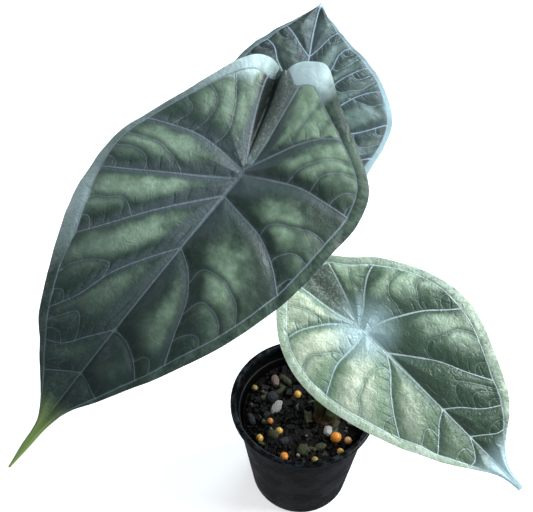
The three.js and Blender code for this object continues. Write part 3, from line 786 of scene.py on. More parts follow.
bead_shell, tree, shader = new_material("bead_shell", 0.35, Specular_IOR_Level=0.5, Subsurface_Weight=0.25,
                                        Subsurface_Scale=0.0015, Coat_Weight=0.2)
kinds = colours_by_tone(tree, BEAD_DYES, "LINEAR")
spots = place_group(tree, MOTTLE, Large=1.6, Small=0.5)["Mask"]
soiled = mix_colours(tree, times(tree, spots, 0.3), kinds, dye(120, 84, 40))
lead_to(tree, shader, soiled, noise_at(tree, 0.5, 3.0), 0.06)
hand_over(feed_beads, bead_shell, "soil")

# %% [markdown]
# All the leaves hang on smooth curves through a few given points. One rule serves points on
# a leaf's own flat plane: between two points the curve is a cubic piece that takes its slopes
# from the points on both sides. Another serves the stalks: it rounds the same kind of route in
# space, a little tighter at the bends, as the imported stalks do.

# %% Smooth curves through given points
FINE_STEPS = 40


def knots_along(points):
    steps = np.linalg.norm(np.diff(points, axis=0), axis=1)
    return np.concatenate([[0], np.cumsum(steps)])


def smooth_points(points, knots, places):
    """Points at places among the knots. Each point may itself be a row of points."""
    points = np.asarray(points, float)
    last = len(points) - 1
    before = np.maximum(np.arange(last + 1) - 1, 0)
    after = np.minimum(np.arange(last + 1) + 1, last)
    widen = (slice(None),) + (None,) * (points.ndim - 1)
    slopes = (points[after] - points[before]) / (knots[after] - knots[before])[widen]
    piece = np.clip(np.searchsorted(knots, places, side="left") - 1, 0, last - 1)
    span = (knots[piece + 1] - knots[piece])[widen]
    t = ((places - knots[piece])[widen]) / span
    return (points[piece] * (2 * t**3 - 3 * t**2 + 1) + slopes[piece] * (t**3 - 2 * t**2 + t) * span
            + points[piece + 1] * (3 * t**2 - 2 * t**3) + slopes[piece + 1] * (t**3 - t**2) * span)


def rounded_route(points, count):
    """A route through points in space, cut into even steps."""
    points = np.asarray(points, float)
    full = np.vstack([2 * points[0] - points[1], points, 2 * points[-1] - points[-2]])
    fine = []
    for first, start, end, last in zip(full, full[1:], full[2:], full[3:]):
        gaps = [math.sqrt(np.linalg.norm(b - a)) for a, b in ((first, start), (start, end), (end, last))]
        leave = ((start - first) / gaps[0] - (end - first) / (gaps[0] + gaps[1]) + (end - start) / gaps[1])
        arrive = ((end - start) / gaps[1] - (last - start) / (gaps[1] + gaps[2]) + (last - end) / gaps[2])
        for t in np.linspace(0, 1, FINE_STEPS, endpoint=False):
            fine.append(start * (2 * t**3 - 3 * t**2 + 1) + leave * gaps[1] * (t**3 - 2 * t**2 + t)
                        + end * (3 * t**2 - 2 * t**3) + arrive * gaps[1] * (t**3 - t**2))
    fine.append(points[-1])
    fine = np.array(fine)
    run = knots_along(fine)
    even = np.linspace(0, run[-1], count)
    return np.stack([np.interp(even, run, fine[:, axis]) for axis in range(3)], axis=1)


print("A bend in three points:", rounded_route([(0, 0, 0), (1, 0, 0), (1, 1, 0)], 3)[1].round(2))

# %% [markdown]
# Each leaf is drawn on its own flat plane, with y towards the tip, x across and the stalk
# under the origin. A row of lines runs from the fold in the middle out to the margin, first at
# the tip, then round to the notch between the two rear lobes. A line marked + or - is one of
# the main veins on that side. The same numbers shape the imported blades, so both stay together.
# The arcs are the fine veins of the panel behind a main vein: each leaves that vein at the
# first share of its length and meets the margin at the second share of the panel's width.
#
# A margin's table has one row for each line that matters: the line's number, how deep the
# margin rolls under there, from where on it rolls, where the vein inside the margin runs, both
# as shares of the way out, and how much painted sheen lies outside that vein: a pale paint that
# stands in for the light reflected from the rolled margin. Bleed says how many millimetres that
# painted sheen runs inwards. Fold, arch, droop and back_rise shape the sheet, skew swings the
# part behind the stalk sideways, and pillow is the height of its quilts. Between the rear lobes
# the sheet sinks by the cleft's depth. Groove turns the cleft's line, and steep and slope say
# how fast its two sides widen. Wall and channel give the slopes between which the cleft's wall,
# painted pale as if lit, and its bottom, painted dark as shade, show. Lean shifts a panel's pale
# part, which is partly painted light, and comb is the strength of the short creases beside the
# veins.

# %% Large leaf
LARGE_LEAF = {
    "name": "a", "stalk_top": (-24.8, -26.1, 236.2), "heading": 226, "tilt": 25, "roll": 20,
    "fold": 0.25, "arch": 0.005, "droop": 0.001, "back_rise": 0.004, "skew": 0.35,
    "pillow": 2.6, "cleft": 5.5, "lean": {"plus": 1.0, "minus": 1.4},
    "comb": 0.7, "groove": 0.03, "steep": 0.05, "slope": 0.14,
    "wall": (-0.22, -0.01), "channel": (-0.02, 0.17), "bleed": {"plus": 9.0, "minus": 0.0},
    "plus_margin": [(0, 0.2, 0.9, 0.9, 0), (5, 0.9, 0.9, 0.93, 0), (7, 1.1, 0.9, 0.94, 0),
                    (8, 1.3, 0.9, 0.93, 0), (9, 1.5, 0.9, 0.9, 0.2), (10, 1.7, 0.89, 0.9, 0.4),
                    (11, 1.7, 0.89, 0.94, 0.25), (12, 1.8, 0.89, 0.95, 0.15), (14, 2.0, 0.88, 0.95, 0.15),
                    (15, 2.4, 0.86, 0.93, 0.6), (16, 3.2, 0.82, 0.89, 0.85), (17, 3.8, 0.76, 0.87, 0.3),
                    (18, 3.6, 0.76, 0.86, 0.05), (20, 0.6, 0.8, 0.86, 0)],
    "minus_margin": [(0, 0.2, 0.9, 0.9, 0), (6, 0.9, 0.9, 0.92, 0), (11, 1.0, 0.88, 0.92, 0),
                     (13, 1.4, 0.86, 0.91, 0), (14, 1.7, 0.85, 0.9, 0), (15, 2.0, 0.84, 0.88, 0.0),
                     (16, 2.3, 0.82, 0.83, 1.0), (17, 2.4, 0.8, 0.8, 1.0), (18, 2.5, 0.8, 0.82, 1.0),
                     (20, 0.6, 0.8, 0.86, 0.4)],
    "plus_arcs": {5: [(0.7, 0.3), (0.5, 0.55)], 7: [(0.8, 0.2), (0.5, 0.5)],
                  9: [(0.82, 0.24), (0.57, 0.52)], 11: [(0.8, 0.2), (0.6, 0.4), (0.35, 0.62)],
                  13: [(0.68, 0.32), (0.5, 0.5), (0.3, 0.7)]},
    "minus_arcs": {5: [(0.6, 0.4)], 7: [(0.72, 0.28), (0.5, 0.45), (0.28, 0.62)],
                   9: [(0.85, 0.2), (0.66, 0.42), (0.42, 0.66)],
                   12: [(0.88, 0.15), (0.74, 0.3), (0.55, 0.5), (0.36, 0.68)],
                   14: [(0.75, 0.25), (0.5, 0.5)]},
}
LARGE_LEAF["lines"] = [
    ((0, 111.5), [(0.15, 111.4)], [(-0.15, 111.4)], ""),
    ((0, 104), [(0.9, 103.5)], [(-0.9, 103.5)], ""),
    ((0, 96), [(1.7, 95.4)], [(-1.8, 95.2)], ""),
    ((0, 88), [(2.4, 88.6), (5.2, 88.6)], [(-2, 87.4), (-4.3, 87)], ""),
    ((0, 76), [(4, 78.5), (10, 82.7)], [(-4, 77.2), (-9, 79.3)], "+-"),
    ((0, 60), [(5, 66.5), (10, 73), (16, 75.5)], [(-5, 60.5), (-10.5, 63.5), (-15.3, 68.5)], "+-"),
    ((0, 44), [(7, 53), (13, 64), (18.3, 72.8)], [(-6, 48), (-13, 55), (-17.5, 65.2)], ""),
    ((0, 29), [(6, 38), (11.5, 48), (15, 59), (20.8, 69.5)],
     [(-6, 33), (-11.5, 40), (-15.5, 51), (-19.5, 61.5)], "+-"),
    ((0, 19), [(8, 31), (16, 43), (25.7, 60)], [(-8, 22), (-18, 30), (-28, 43.5)], ""),
    ((0, 9), [(7, 17.5), (14, 26.5), (22, 38), (30.5, 49.5)],
     [(-8, 10.5), (-17, 12.5), (-25, 17), (-33.6, 24.5)], "+-"),
    ((0, 5), [(10, 14), (20, 23), (35, 37.5)], [(-11, 6), (-22, 8), (-35.2, 12.5)], ""),
    ((0, 2.2), [(8, 8), (17, 14), (27, 20.5), (37, 26.5)], [(-11, 1.5), (-22, 1.5), (-35.7, 2.5)], "+"),
    ((0.1, 0.7), [(11, 5), (23, 9), (37.4, 16)],
     [(-9, -3.5), (-17, -6.5), (-26, -7.5), (-36, -8.5)], "-"),
    ((0.3, -0.4), [(9, -1), (18, -0.5), (27, 2.5), (34.8, 5.5)],
     [(-9, -8.5), (-19, -14), (-32.3, -18.5)], "+"),
    ((0.5, -1.1), [(10, -6.5), (19, -9), (29.2, -8.5)],
     [(-4, -9.5), (-8, -16.5), (-13, -22.2), (-20.2, -26.6)], "-"),
    ((0.7, -1.7), [(9, -10.5), (16.5, -17), (24, -21.5)], [(-2.8, -13), (-5.5, -23.4), (-8.8, -33)], ""),
    ((0.9, -2.3), [(7.3, -11.5), (13.5, -21), (19.3, -29.8)],
     [(-0.8, -13), (-1.2, -25.6), (-0.4, -38.8)], ""),
    ((1.1, -3), [(5, -9.5), (9, -17.5), (12, -24.6), (14.3, -32.3)],
     [(0, -9.5), (1.3, -18), (3.3, -26.5), (5.9, -37)], "+-"),
    ((4.3, -12), [(8.5, -20.3), (12.9, -32.6)], [(4, -21), (7.8, -36)], ""),
    ((8, -24), [(10, -28.4), (12, -32.5)], [(8, -28.8), (9.3, -34.8)], ""),
    ((10.7, -32.8), [(11.3, -32.7)], [(10, -33.5)], ""),
]

print("The large leaf has", len(LARGE_LEAF["lines"]), "lines")

# %% [markdown]
# The far leaf points away from the camera and is nearly even on both sides. Its notch and rear
# lobes are hidden behind the large leaf, so they follow what the other two leaves show.

# %% Far leaf
FAR_LEAF = {
    "name": "b", "stalk_top": (-7.1, 20, 213.3), "heading": 82, "tilt": -5, "roll": -5,
    "fold": 0.2, "arch": 0.004, "droop": 0.0012, "back_rise": 0.002, "skew": 0,
    "pillow": 1.2, "cleft": 4, "lean": {"plus": 1.0, "minus": 1.0},
    "comb": 0.1, "groove": 0, "steep": 0.12, "slope": 0.12,
    "wall": (0, 0), "channel": (0, 0), "bleed": {"plus": 4.0, "minus": 0.0},
    "plus_margin": [(0, 0.2, 0.9, 0.93, 0), (5, 0.9, 0.9, 0.95, 0.1), (8, 1.2, 0.9, 0.96, 0.25),
                    (10, 1.3, 0.9, 0.96, 0.5), (11, 1.3, 0.9, 0.96, 0.75), (12, 1.3, 0.9, 0.95, 0.4),
                    (13, 1.3, 0.9, 0.95, 0.6), (15, 1.3, 0.9, 0.94, 0.45), (17, 0.9, 0.9, 0.92, 0.1),
                    (19, 0.4, 0.9, 0.9, 0.1)],
    "minus_margin": [(0, 0.2, 0.9, 0.93, 0), (5, 1.2, 0.9, 0.94, 0.1), (10, 1.8, 0.88, 0.94, 0.08),
                     (14, 1.6, 0.88, 0.93, 0.05), (19, 0.4, 0.9, 0.9, 0)],
    "plus_arcs": {4: [(0.6, 0.4)], 6: [(0.75, 0.25), (0.5, 0.5)], 8: [(0.7, 0.3), (0.45, 0.55)],
                  10: [(0.6, 0.4)], 12: [(0.75, 0.25), (0.5, 0.5)], 14: [(0.6, 0.4)]},
    "minus_arcs": {4: [(0.6, 0.4)], 6: [(0.75, 0.25), (0.5, 0.5)], 8: [(0.7, 0.3), (0.45, 0.55)],
                   12: [(0.75, 0.25), (0.5, 0.5)], 14: [(0.6, 0.4)]},
}
FAR_LEAF["lines"] = [
    ((1.5, 96), [(2.3, 95.7)], [(0.7, 95.7)], ""),
    ((1, 90), [(2.9, 89.4)], [(-1.3, 89.4)], ""),
    ((0.5, 82), [(5.4, 81.2)], [(-4.8, 82)], ""),
    ((0, 65), [(4, 70), (8.5, 74.3)], [(-4, 70.5), (-8.3, 75)], ""),
    ((0, 47), [(3.5, 54), (7, 62.5), (11, 68.8)], [(-4, 54), (-8, 62), (-12.3, 68.3)], "+-"),
    ((0, 34), [(6, 44), (9.5, 56), (13.6, 63.6)], [(-6, 43), (-11, 54), (-15.8, 62.6)], ""),
    ((0, 22), [(6, 30), (9.5, 40), (12, 51), (17, 58.3)],
     [(-7, 30), (-12, 40), (-14.5, 49), (-19.5, 55.5)], "+-"),
    ((0, 14), [(7, 25), (14, 38), (21.3, 51)], [(-9, 22), (-17, 34), (-24, 46.3)], ""),
    ((0, 8), [(6, 19), (12, 31), (18, 38.5), (25, 44.8)],
     [(-8, 14.5), (-16, 21.5), (-23, 29.5), (-28.2, 34.5)], "+-"),
    ((0, 5), [(9, 14), (18, 24), (28.3, 37.6)], [(-10, 9), (-20, 15), (-31, 23.5)], ""),
    ((0, 2.6), [(7, 9), (14, 17), (21, 24.5), (30.7, 30.5)],
     [(-10, 4), (-21, 7.5), (-32.5, 12.5)], "+"),
    ((0, 1), [(10, 6), (21, 13), (33, 21)], [(-10, 0), (-21, -0.5), (-33, 2)], ""),
    ((0, -0.1), [(11, 1), (22, 4), (33.8, 12)], [(-9, -5), (-19, -8.5), (-31.3, -8)], "+-"),
    ((0, -1), [(11, -4), (22, -4.5), (32.2, 3)], [(-8, -9), (-17, -15), (-27.5, -17.5)], ""),
    ((0, -1.7), [(9, -8), (18, -11.5), (29, -7)], [(-6, -11), (-12.5, -19), (-21.5, -25.3)], "+-"),
    ((0, -2.4), [(6.5, -11.5), (13, -20.5), (21.5, -23.5)], [(-4.5, -11.5), (-9, -21), (-15, -30)], ""),
    ((0, -3), [(3.5, -10.5), (6.3, -20), (9, -31.5)], [(-3.5, -10.5), (-6, -20), (-8.5, -32)], "+-"),
    ((0, -11), [(2.8, -19.5), (5.3, -29.5)], [(-2.8, -19.5), (-5.1, -29.7)], ""),
    ((0, -19), [(1.6, -23.3), (2.7, -26.9)], [(-1.6, -23.3), (-2.7, -27)], ""),
    ((0, -25), [(0.8, -25.3)], [(-0.8, -25.3)], ""),
]

print("The far leaf has", len(FAR_LEAF["lines"]), "lines")

# %% [markdown]
# The near leaf is the youngest and smallest one, with the deepest quilts for its size. It
# points to the right and towards us, and its base lies under the large leaf.

# %% Near leaf
NEAR_LEAF = {
    "name": "c", "stalk_top": (18.5, -24.6, 156.4), "heading": 318, "tilt": 20, "roll": -28,
    "fold": 0.25, "arch": 0.005, "droop": 0.0015, "back_rise": -0.003, "skew": -0.03,
    "pillow": 2.9, "cleft": 2.5, "lean": {"plus": 1.0, "minus": 1.0},
    "comb": 0.4, "groove": 0, "steep": 0.12, "slope": 0.12,
    "wall": (-0.28, 0.2), "channel": (0, 0), "bleed": {"plus": 0.0, "minus": 0.0},
    "plus_margin": [(0, 0.2, 0.9, 0.9, 0), (5, 0.8, 0.9, 0.9, 0), (14, 0.9, 0.9, 0.9, 0),
                    (17, 1.6, 0.85, 0.9, 0), (20, 0.3, 0.9, 0.9, 0)],
    "minus_margin": [(0, 0.2, 0.9, 0.9, 0), (5, 0.9, 0.9, 0.9, 0), (12, 1.6, 0.88, 0.9, 0),
                     (15, 2.2, 0.84, 0.9, 0.3), (17, 2.0, 0.82, 0.9, 0.4), (20, 0.3, 0.9, 0.9, 0.3)],
    "plus_arcs": {4: [(0.5, 0.5)], 6: [(0.55, 0.45)], 8: [(0.72, 0.2), (0.22, 0.55)],
                  11: [(0.85, 0.15), (0.42, 0.5)], 14: [(0.7, 0.3), (0.45, 0.55)]},
    "minus_arcs": {4: [(0.5, 0.4)], 6: [(0.7, 0.25), (0.5, 0.42), (0.3, 0.6)],
                   8: [(0.75, 0.2), (0.4, 0.6)],
                   11: [(0.76, 0.2), (0.58, 0.42), (0.36, 0.68)],
                   15: [(0.5, 0.5)]},
}
NEAR_LEAF["lines"] = [
    ((0, 82), [(0.8, 81.7)], [(-0.8, 81.7)], ""),
    ((0, 77), [(1.4, 76.5)], [(-1.5, 76.5)], ""),
    ((0, 72), [(3.1, 71.5)], [(-3, 71.5)], ""),
    ((0, 65), [(2.6, 66.8), (5.6, 67)], [(-3.3, 66), (-7, 66.2)], ""),
    ((0, 55), [(2.5, 59.5), (5.2, 62.4), (8.6, 62.3)], [(-4, 58), (-8, 61), (-12.3, 62)], "+-"),
    ((0, 48), [(4, 52), (8, 56.3), (11.5, 57.6)], [(-5, 51), (-10, 56), (-15.5, 59.3)], ""),
    ((0, 41), [(4.5, 43.5), (9, 47.5), (14.6, 52.3)], [(-5, 45), (-10.5, 51), (-18.4, 56.2)], "+-"),
    ((0, 26), [(6, 33), (12, 41), (17.6, 46)], [(-8, 33), (-14, 43), (-20.6, 53.6)], ""),
    ((0, 12), [(4, 18), (9, 23), (14.5, 30), (20.7, 40)],
     [(-6, 20), (-11.5, 28), (-16, 38), (-22.7, 50.5)], "+-"),
    ((0, 6), [(9, 12), (17, 19.5), (25.3, 27.5)], [(-9, 12), (-19, 22), (-28.5, 38)], ""),
    ((0, 3.3), [(9, 6.5), (18, 10.5), (28, 18)], [(-9, 7), (-20, 14), (-32, 30)], ""),
    ((0, 1.2), [(8, 2), (16, 2.2), (22.5, 5), (29.9, 9)],
     [(-7, 3), (-14, 6.5), (-21, 11), (-27.5, 17), (-34.3, 22.5)], "+-"),
    ((0, 0.2), [(10, -2), (20, -3.2), (30.3, 0)], [(-10, 2), (-21, 5), (-34.5, 13)], ""),
    ((0, -0.7), [(9, -6.5), (18.5, -10), (29.2, -8.5)], [(-10, -1.3), (-21, -1.5), (-32.8, 5)], ""),
    ((0, -1.3), [(6.5, -9.5), (12.5, -14), (18.5, -17), (25.5, -18)],
     [(-9, -4.5), (-18, -6.5), (-29.8, -2.8)], "+"),
    ((0, -1.9), [(5.3, -11.5), (11, -19.5), (19.5, -25.8)],
     [(-6, -5.8), (-11, -10), (-16, -13.3), (-22.5, -15)], "-"),
    ((0, -2.5), [(3.8, -12), (7.5, -22), (13, -31.5)], [(-4.7, -9.5), (-9.7, -16), (-16, -21.7)], ""),
    ((0, -3.1), [(2.2, -9.5), (3.5, -16), (4.4, -24), (6, -34)],
     [(-3, -10), (-5.7, -17), (-8, -24), (-9.7, -30)], "+-"),
    ((-0.3, -11), [(1.7, -20), (3.3, -33.6)], [(-3, -20), (-5.8, -31.3)], ""),
    ((-0.7, -22), [(0.6, -27), (1.5, -32.6)], [(-2.2, -27), (-3.4, -31.6)], ""),
    ((-0.9, -31.2), [(-0.1, -31.5)], [(-1.7, -31.5)], ""),
]
LEAVES = [LARGE_LEAF, FAR_LEAF, NEAR_LEAF]
print("Lines per leaf:", [len(leaf["lines"]) for leaf in LEAVES])

# %% [markdown]
# The lines alone are too few for a smooth blade, so they are woven into a net: many points
# along each line, and many rows between each line and the next. A row lies exactly on every
# main vein, which keeps the creases sharp. The blade's plane then gets its place in space.

# %% Weaving the net of a blade
MARGINAL_VEIN = 0.9
INNER_COLUMNS = 53
MARGIN_COLUMNS = 9
COLUMNS = np.concatenate([np.linspace(0, MARGINAL_VEIN, INNER_COLUMNS),
                          np.linspace(MARGINAL_VEIN, 1, MARGIN_COLUMNS + 1)[1:]])
ROW_SPACING = 0.66


def weave(leaf):
    """For each side, the net and every row's place round the margin, and the rows of the lines."""
    lines = leaf["lines"]
    sides = {}
    for side, number in (("plus", 1), ("minus", 2)):
        shapes = [np.array([line[0], *line[number]], float) for line in lines]
        knots = knots_along(np.array([shape[-1] for shape in shapes]))
        runs = [knots_along(shape) for shape in shapes]
        columns = np.array([smooth_points(shape, run, COLUMNS * run[-1])
                            for shape, run in zip(shapes, runs)])
        sides[side] = (knots, columns)
    spans = np.maximum(np.diff(sides["plus"][0]), np.diff(sides["minus"][0]))
    counts = np.maximum(np.ceil(spans / ROW_SPACING).astype(int), 2)
    line_rows = np.concatenate([[0], np.cumsum(counts)])
    nets = {}
    for side, (knots, columns) in sides.items():
        places = np.interp(np.arange(line_rows[-1] + 1), line_rows, knots)
        nets[side] = (smooth_points(columns, knots, places), places)
    return nets, line_rows


def blade_axes(leaf):
    """y points to the tip, x across, z up out of the upper side."""
    heading, tilt, roll = (math.radians(leaf[turn]) for turn in ("heading", "tilt", "roll"))
    flat = np.array([math.cos(heading), math.sin(heading), 0])
    up = np.array([0, 0, 1])
    y = flat * math.cos(tilt) - up * math.sin(tilt)
    level = flat * math.sin(tilt) + up * math.cos(tilt)
    x = np.cross(y, level) * math.cos(roll) + level * math.sin(roll)
    return x, y, np.cross(x, y)


nets, line_rows = weave(LARGE_LEAF)
print("The large leaf has", line_rows[-1], "rows of", 2 * len(COLUMNS) - 1, "points")

# %% [markdown]
# A quilted leaf swells between its veins because the blade grows more than they do. So both
# its height and its colours follow from distances: to the nearest main vein, to the midrib, to
# the nearest fine vein and to the vein inside the margin. Those to straight pieces of a line
# are plain geometry.

# %% Distances to the main veins
ROLL_DEPTH, ROLL_START, VEIN_SHARE, PAINTED_SHEEN = 1, 2, 3, 4
VEIN_STRIDE = 3


def soft_share(value, low, high):
    share = np.clip((value - low) / (high - low), 0, 1)
    return share * share * (3 - 2 * share)


def distance_to(lines, points):
    nearest = np.full(len(points), 1e9)
    for line in lines:
        starts, ends = line[:-1], line[1:]
        runs = ends - starts
        lengths = np.maximum((runs**2).sum(1), 1e-9)
        shares = np.clip(((points[:, None] - starts) * runs).sum(2) / lengths, 0, 1)
        gaps = points[:, None] - starts - shares[..., None] * runs
        nearest = np.minimum(nearest, np.sqrt((gaps**2).sum(2)).min(1))
    return nearest


def margin_table(leaf, side, line_rows, part):
    """One column of a margin's table, read off for every row of the net."""
    table = leaf[side + "_margin"]
    at_rows = line_rows[[entry[0] for entry in table]]
    return np.interp(np.arange(line_rows[-1] + 1), at_rows, [entry[part] for entry in table])[:, None]


def main_veins(leaf, nets, line_rows):
    """The midrib and the main veins, each as a row of points; a few of the net's are enough."""
    ends = {side: margin_table(leaf, side, line_rows, VEIN_SHARE)[:, 0] for side in nets}
    first_behind = next(number for number, line in enumerate(leaf["lines"]) if line[0][1] < 0)
    veins = [nets["plus"][0][:line_rows[first_behind] + 1:VEIN_STRIDE, 0]]
    for line, row in zip(leaf["lines"], line_rows):
        for side, mark in (("plus", "+"), ("minus", "-")):
            if mark in line[3]:
                last = np.searchsorted(COLUMNS, ends[side][row])
                veins.append(nets[side][0][row, np.append(np.arange(0, last, VEIN_STRIDE), last)])
    return veins


print("The large leaf has", len(main_veins(LARGE_LEAF, nets, line_rows)) - 1, "main veins")

# %% [markdown]
# The arcs in a panel are rounded corners, each a little further from the vein they start on
# than the one before. Between two arcs a point's phase is a number between theirs, so the
# distance to the nearest arc is what the phase still lacks, divided by how fast it changes.
# At a main vein the count starts anew, and so each strip between two rows has its own values.

# %% Distances to the arcs, and places in a panel
ARC_ROUNDNESS = 2.2
ARC_WANDER = 0.17
HALVINGS = 22
FAR_OFF = 9.0


def arc_distance(net, places, arcs, margin):
    """Distance to the nearest arc in a panel, with a sign that changes at every arc.

    The phase counts arcs: 1 on the first, 2 on the second. Each point's is found by halving.
    """
    count = len(arcs)
    step = (arcs[-1][0] - (arcs[-2][0] if count > 1 else MARGINAL_VEIN),
            arcs[-1][1] - (arcs[-2][1] if count > 1 else 0.0))
    starts = [MARGINAL_VEIN, *(arc[0] for arc in arcs), arcs[-1][0] + step[0]]
    ends = [0.0, *(arc[1] for arc in arcs), arcs[-1][1] + step[1]]
    u = ((places - places[0]) / (places[-1] - places[0]))[:, None]
    v = np.maximum(margin - COLUMNS, 0)
    low = np.full((len(places), len(COLUMNS)), 1e-3)
    high = np.full_like(low, count + 1)
    for _ in range(HALVINGS):
        phase = (low + high) / 2
        reach = MARGINAL_VEIN - np.interp(phase, range(count + 2), starts)
        width = np.interp(phase, range(count + 2), ends)
        outside = (u / width)**ARC_ROUNDNESS + (v / reach)**ARC_ROUNDNESS > 1
        low = np.where(outside, phase, low)
        high = np.where(outside, high, phase)
    wander = np.array([[noise.noise(Vector((x, y, 7)) / 6) for x, y in row] for row in net])
    phase = phase + ARC_WANDER * wander
    across, along = np.gradient(net, axis=0), np.gradient(net, axis=1)
    rise_across, rise_along = np.gradient(phase, axis=0), np.gradient(phase, axis=1)
    area = across[..., 0] * along[..., 1] - across[..., 1] * along[..., 0]
    slope = np.hypot(rise_across * along[..., 1] - rise_along * across[..., 1],
                     rise_along * across[..., 0] - rise_across * along[..., 0])
    slope = slope / np.maximum(np.abs(area), 1e-4)
    nearest = np.clip(np.round(phase), 1, count)
    sign = np.where(nearest % 2 == 0, 1, -1)
    return np.clip(sign * (phase - nearest) / np.maximum(slope, 0.02), -FAR_OFF, FAR_OFF)


def marked_lines(leaf, side):
    mark = {"plus": "+", "minus": "-"}[side]
    return [number for number, line in enumerate(leaf["lines"]) if mark in line[3]]


def branch_distances(leaf, side, net, places, line_rows):
    """For each strip between two rows, the distance to the arcs at its first and last row."""
    marks = marked_lines(leaf, side)
    margin = margin_table(leaf, side, line_rows, VEIN_SHARE)
    first = np.full((len(net) - 1, len(COLUMNS)), FAR_OFF)
    last = first.copy()
    for number, following in zip(marks, marks[1:]):
        arcs = leaf[side + "_arcs"].get(number)
        if arcs:
            rows = slice(line_rows[number], line_rows[following] + 1)
            found = arc_distance(net[rows], places[rows], arcs, margin[rows])
            strips = slice(line_rows[number], line_rows[following])
            first[strips] = found[:-1]
            last[strips] = found[1:]
    return first, last


def panel_shares(leaf, side, places, line_rows):
    """How far across its panel a point lies: 0 at the vein nearer the stalk, 1 at the other."""
    first, last = (np.zeros((len(places) - 1, len(COLUMNS))) for _ in range(2))
    marks = [0, *marked_lines(leaf, side), len(line_rows) - 1]
    for number, following in zip(marks, marks[1:]):
        start, end = line_rows[number], line_rows[following]
        share = ((places[end] - places[start:end + 1]) / (places[end] - places[start]))[:, None]
        share = share * 0 if following == marks[-1] else share**leaf["lean"][side]
        first[start:end] = share[:-1]
        last[start:end] = share[1:]
    return first, last


print("Panels of the large leaf start at lines", marked_lines(LARGE_LEAF, "plus"))

# %% [markdown]
# The broad form is a sheet folded along the midrib, arched across, drooping to the tip and
# sinking in a cleft between the rear lobes. On it lie the quilts, steep beside a vein and flat
# in the middle of a panel. A point's height is the sum of these and of a few more rules: a
# groove at each fine vein, a crease at the margin's vein, a thin ridge on each main vein, the
# short creases beside them, and random hills, since nothing that grows is quite even.

# %% Height of a blade over its plane
QUILT_STEEPNESS = 3.8
BRANCH_DEPTH = 0.75
BRANCH_WIDTH = 1.3
MARGIN_CREASE = 0.45
MARGIN_CREASE_WIDTH = 0.9
RIDGE_HEIGHT = 0.16
RIDGE_WIDTH = 0.4
COMB_SPACING = 4.2
COMB_SWELL = 0.28
COMB_REACH = 3.2
EDGE_WAVE = 0.7
EDGE_WAVE_LENGTH = 9
HILLS = [(0.24, 2.6, 1), (0.3, 6, 2)]
FOLD_ROUNDING = 4


def broad_height(leaf, x, y):
    behind = np.maximum(-y, 0)
    across = x - leaf["skew"] * behind
    fold = leaf["fold"] * (np.hypot(across, FOLD_ROUNDING) - FOLD_ROUNDING)
    lengthwise = np.where(y > 0, -leaf["droop"], leaf["back_rise"]) * y * y
    gap = across - leaf["groove"] * behind
    width = np.where(gap > 0, leaf["steep"] * behind + 0.7, leaf["slope"] * behind + 1)
    cleft = leaf["cleft"] * soft_share(behind, 2, 26) * np.exp(-(gap / width)**2)
    return fold - leaf["arch"] * across * across + lengthwise - cleft


def wedge(leaf, x, y, low, high):
    """1 in a wedge behind the stalk, between two slopes on either side of the cleft."""
    behind = np.maximum(-y, 0)
    across = x - leaf["skew"] * behind
    over_low = soft_share(across - low * (behind + 5), -0.4, 0.4)
    under_high = soft_share(high * behind - across, -0.4, 0.4)
    return over_low * under_high * soft_share(behind, 2, 7) * (high > low)


def pattern(x, y, size, layer):
    """A soft random height for every point of a table, with hills of about the given size."""
    hills = [noise.noise(Vector((a / size, b / size, layer))) for a, b in zip(x.ravel(), y.ravel())]
    return np.array(hills).reshape(x.shape)


def quilted_height(leaf, whole, fraction):
    x, y = whole["net"][..., 0], whole["net"][..., 1]
    main, branch, edge = whole["main"], whole["branch"], whole["edge"]
    swell = 1 - np.exp(-main / QUILT_STEEPNESS)
    inside = soft_share(-edge, 0, 1.5)
    by_vein = soft_share(main, 0.4, 1.6) * np.exp(-main / COMB_REACH)
    far_side = soft_share(whole["across"], 0.45, 0.75)
    comb = np.sin(2 * math.pi * whole["along"] / COMB_SPACING) * by_vein * far_side * inside
    at_margin = soft_share(fraction, 0.8, 1) * whole["long_row"]
    height = leaf["pillow"] * swell * (1 - 0.6 * soft_share(fraction, 0.55, MARGINAL_VEIN))
    height -= whole["drop"]
    height -= BRANCH_DEPTH * np.exp(-np.abs(branch) / BRANCH_WIDTH) * soft_share(main, 0.3, 3) * inside
    height -= MARGIN_CREASE * np.exp(-np.abs(edge) / MARGIN_CREASE_WIDTH)
    height += RIDGE_HEIGHT * np.exp(-(main / RIDGE_WIDTH)**2)
    height += leaf["comb"] * COMB_SWELL * comb
    height += EDGE_WAVE * pattern(whole["round"] / EDGE_WAVE_LENGTH, whole["round"] * 0, 1, 3) * at_margin
    return height + sum(rise * pattern(x, y, size, layer) for rise, size, layer in HILLS) * swell


print("The large leaf rises to", round(float(broad_height(LARGE_LEAF, 30.0, 20.0)), 1), "mm at its side")

# %% [markdown]
# All these tables are made for one half of a leaf at a time and then joined. Near the tip and
# in the notch a row is too short for a rolled margin, so the roll fades out there.

# %% What is known about a blade
ROLL_REACH = 0.55
SHORT_ROW, LONG_ROW = 1.0, 8.0
COMB_WANDER = 2.2
COMB_WANDER_SIZE = 9


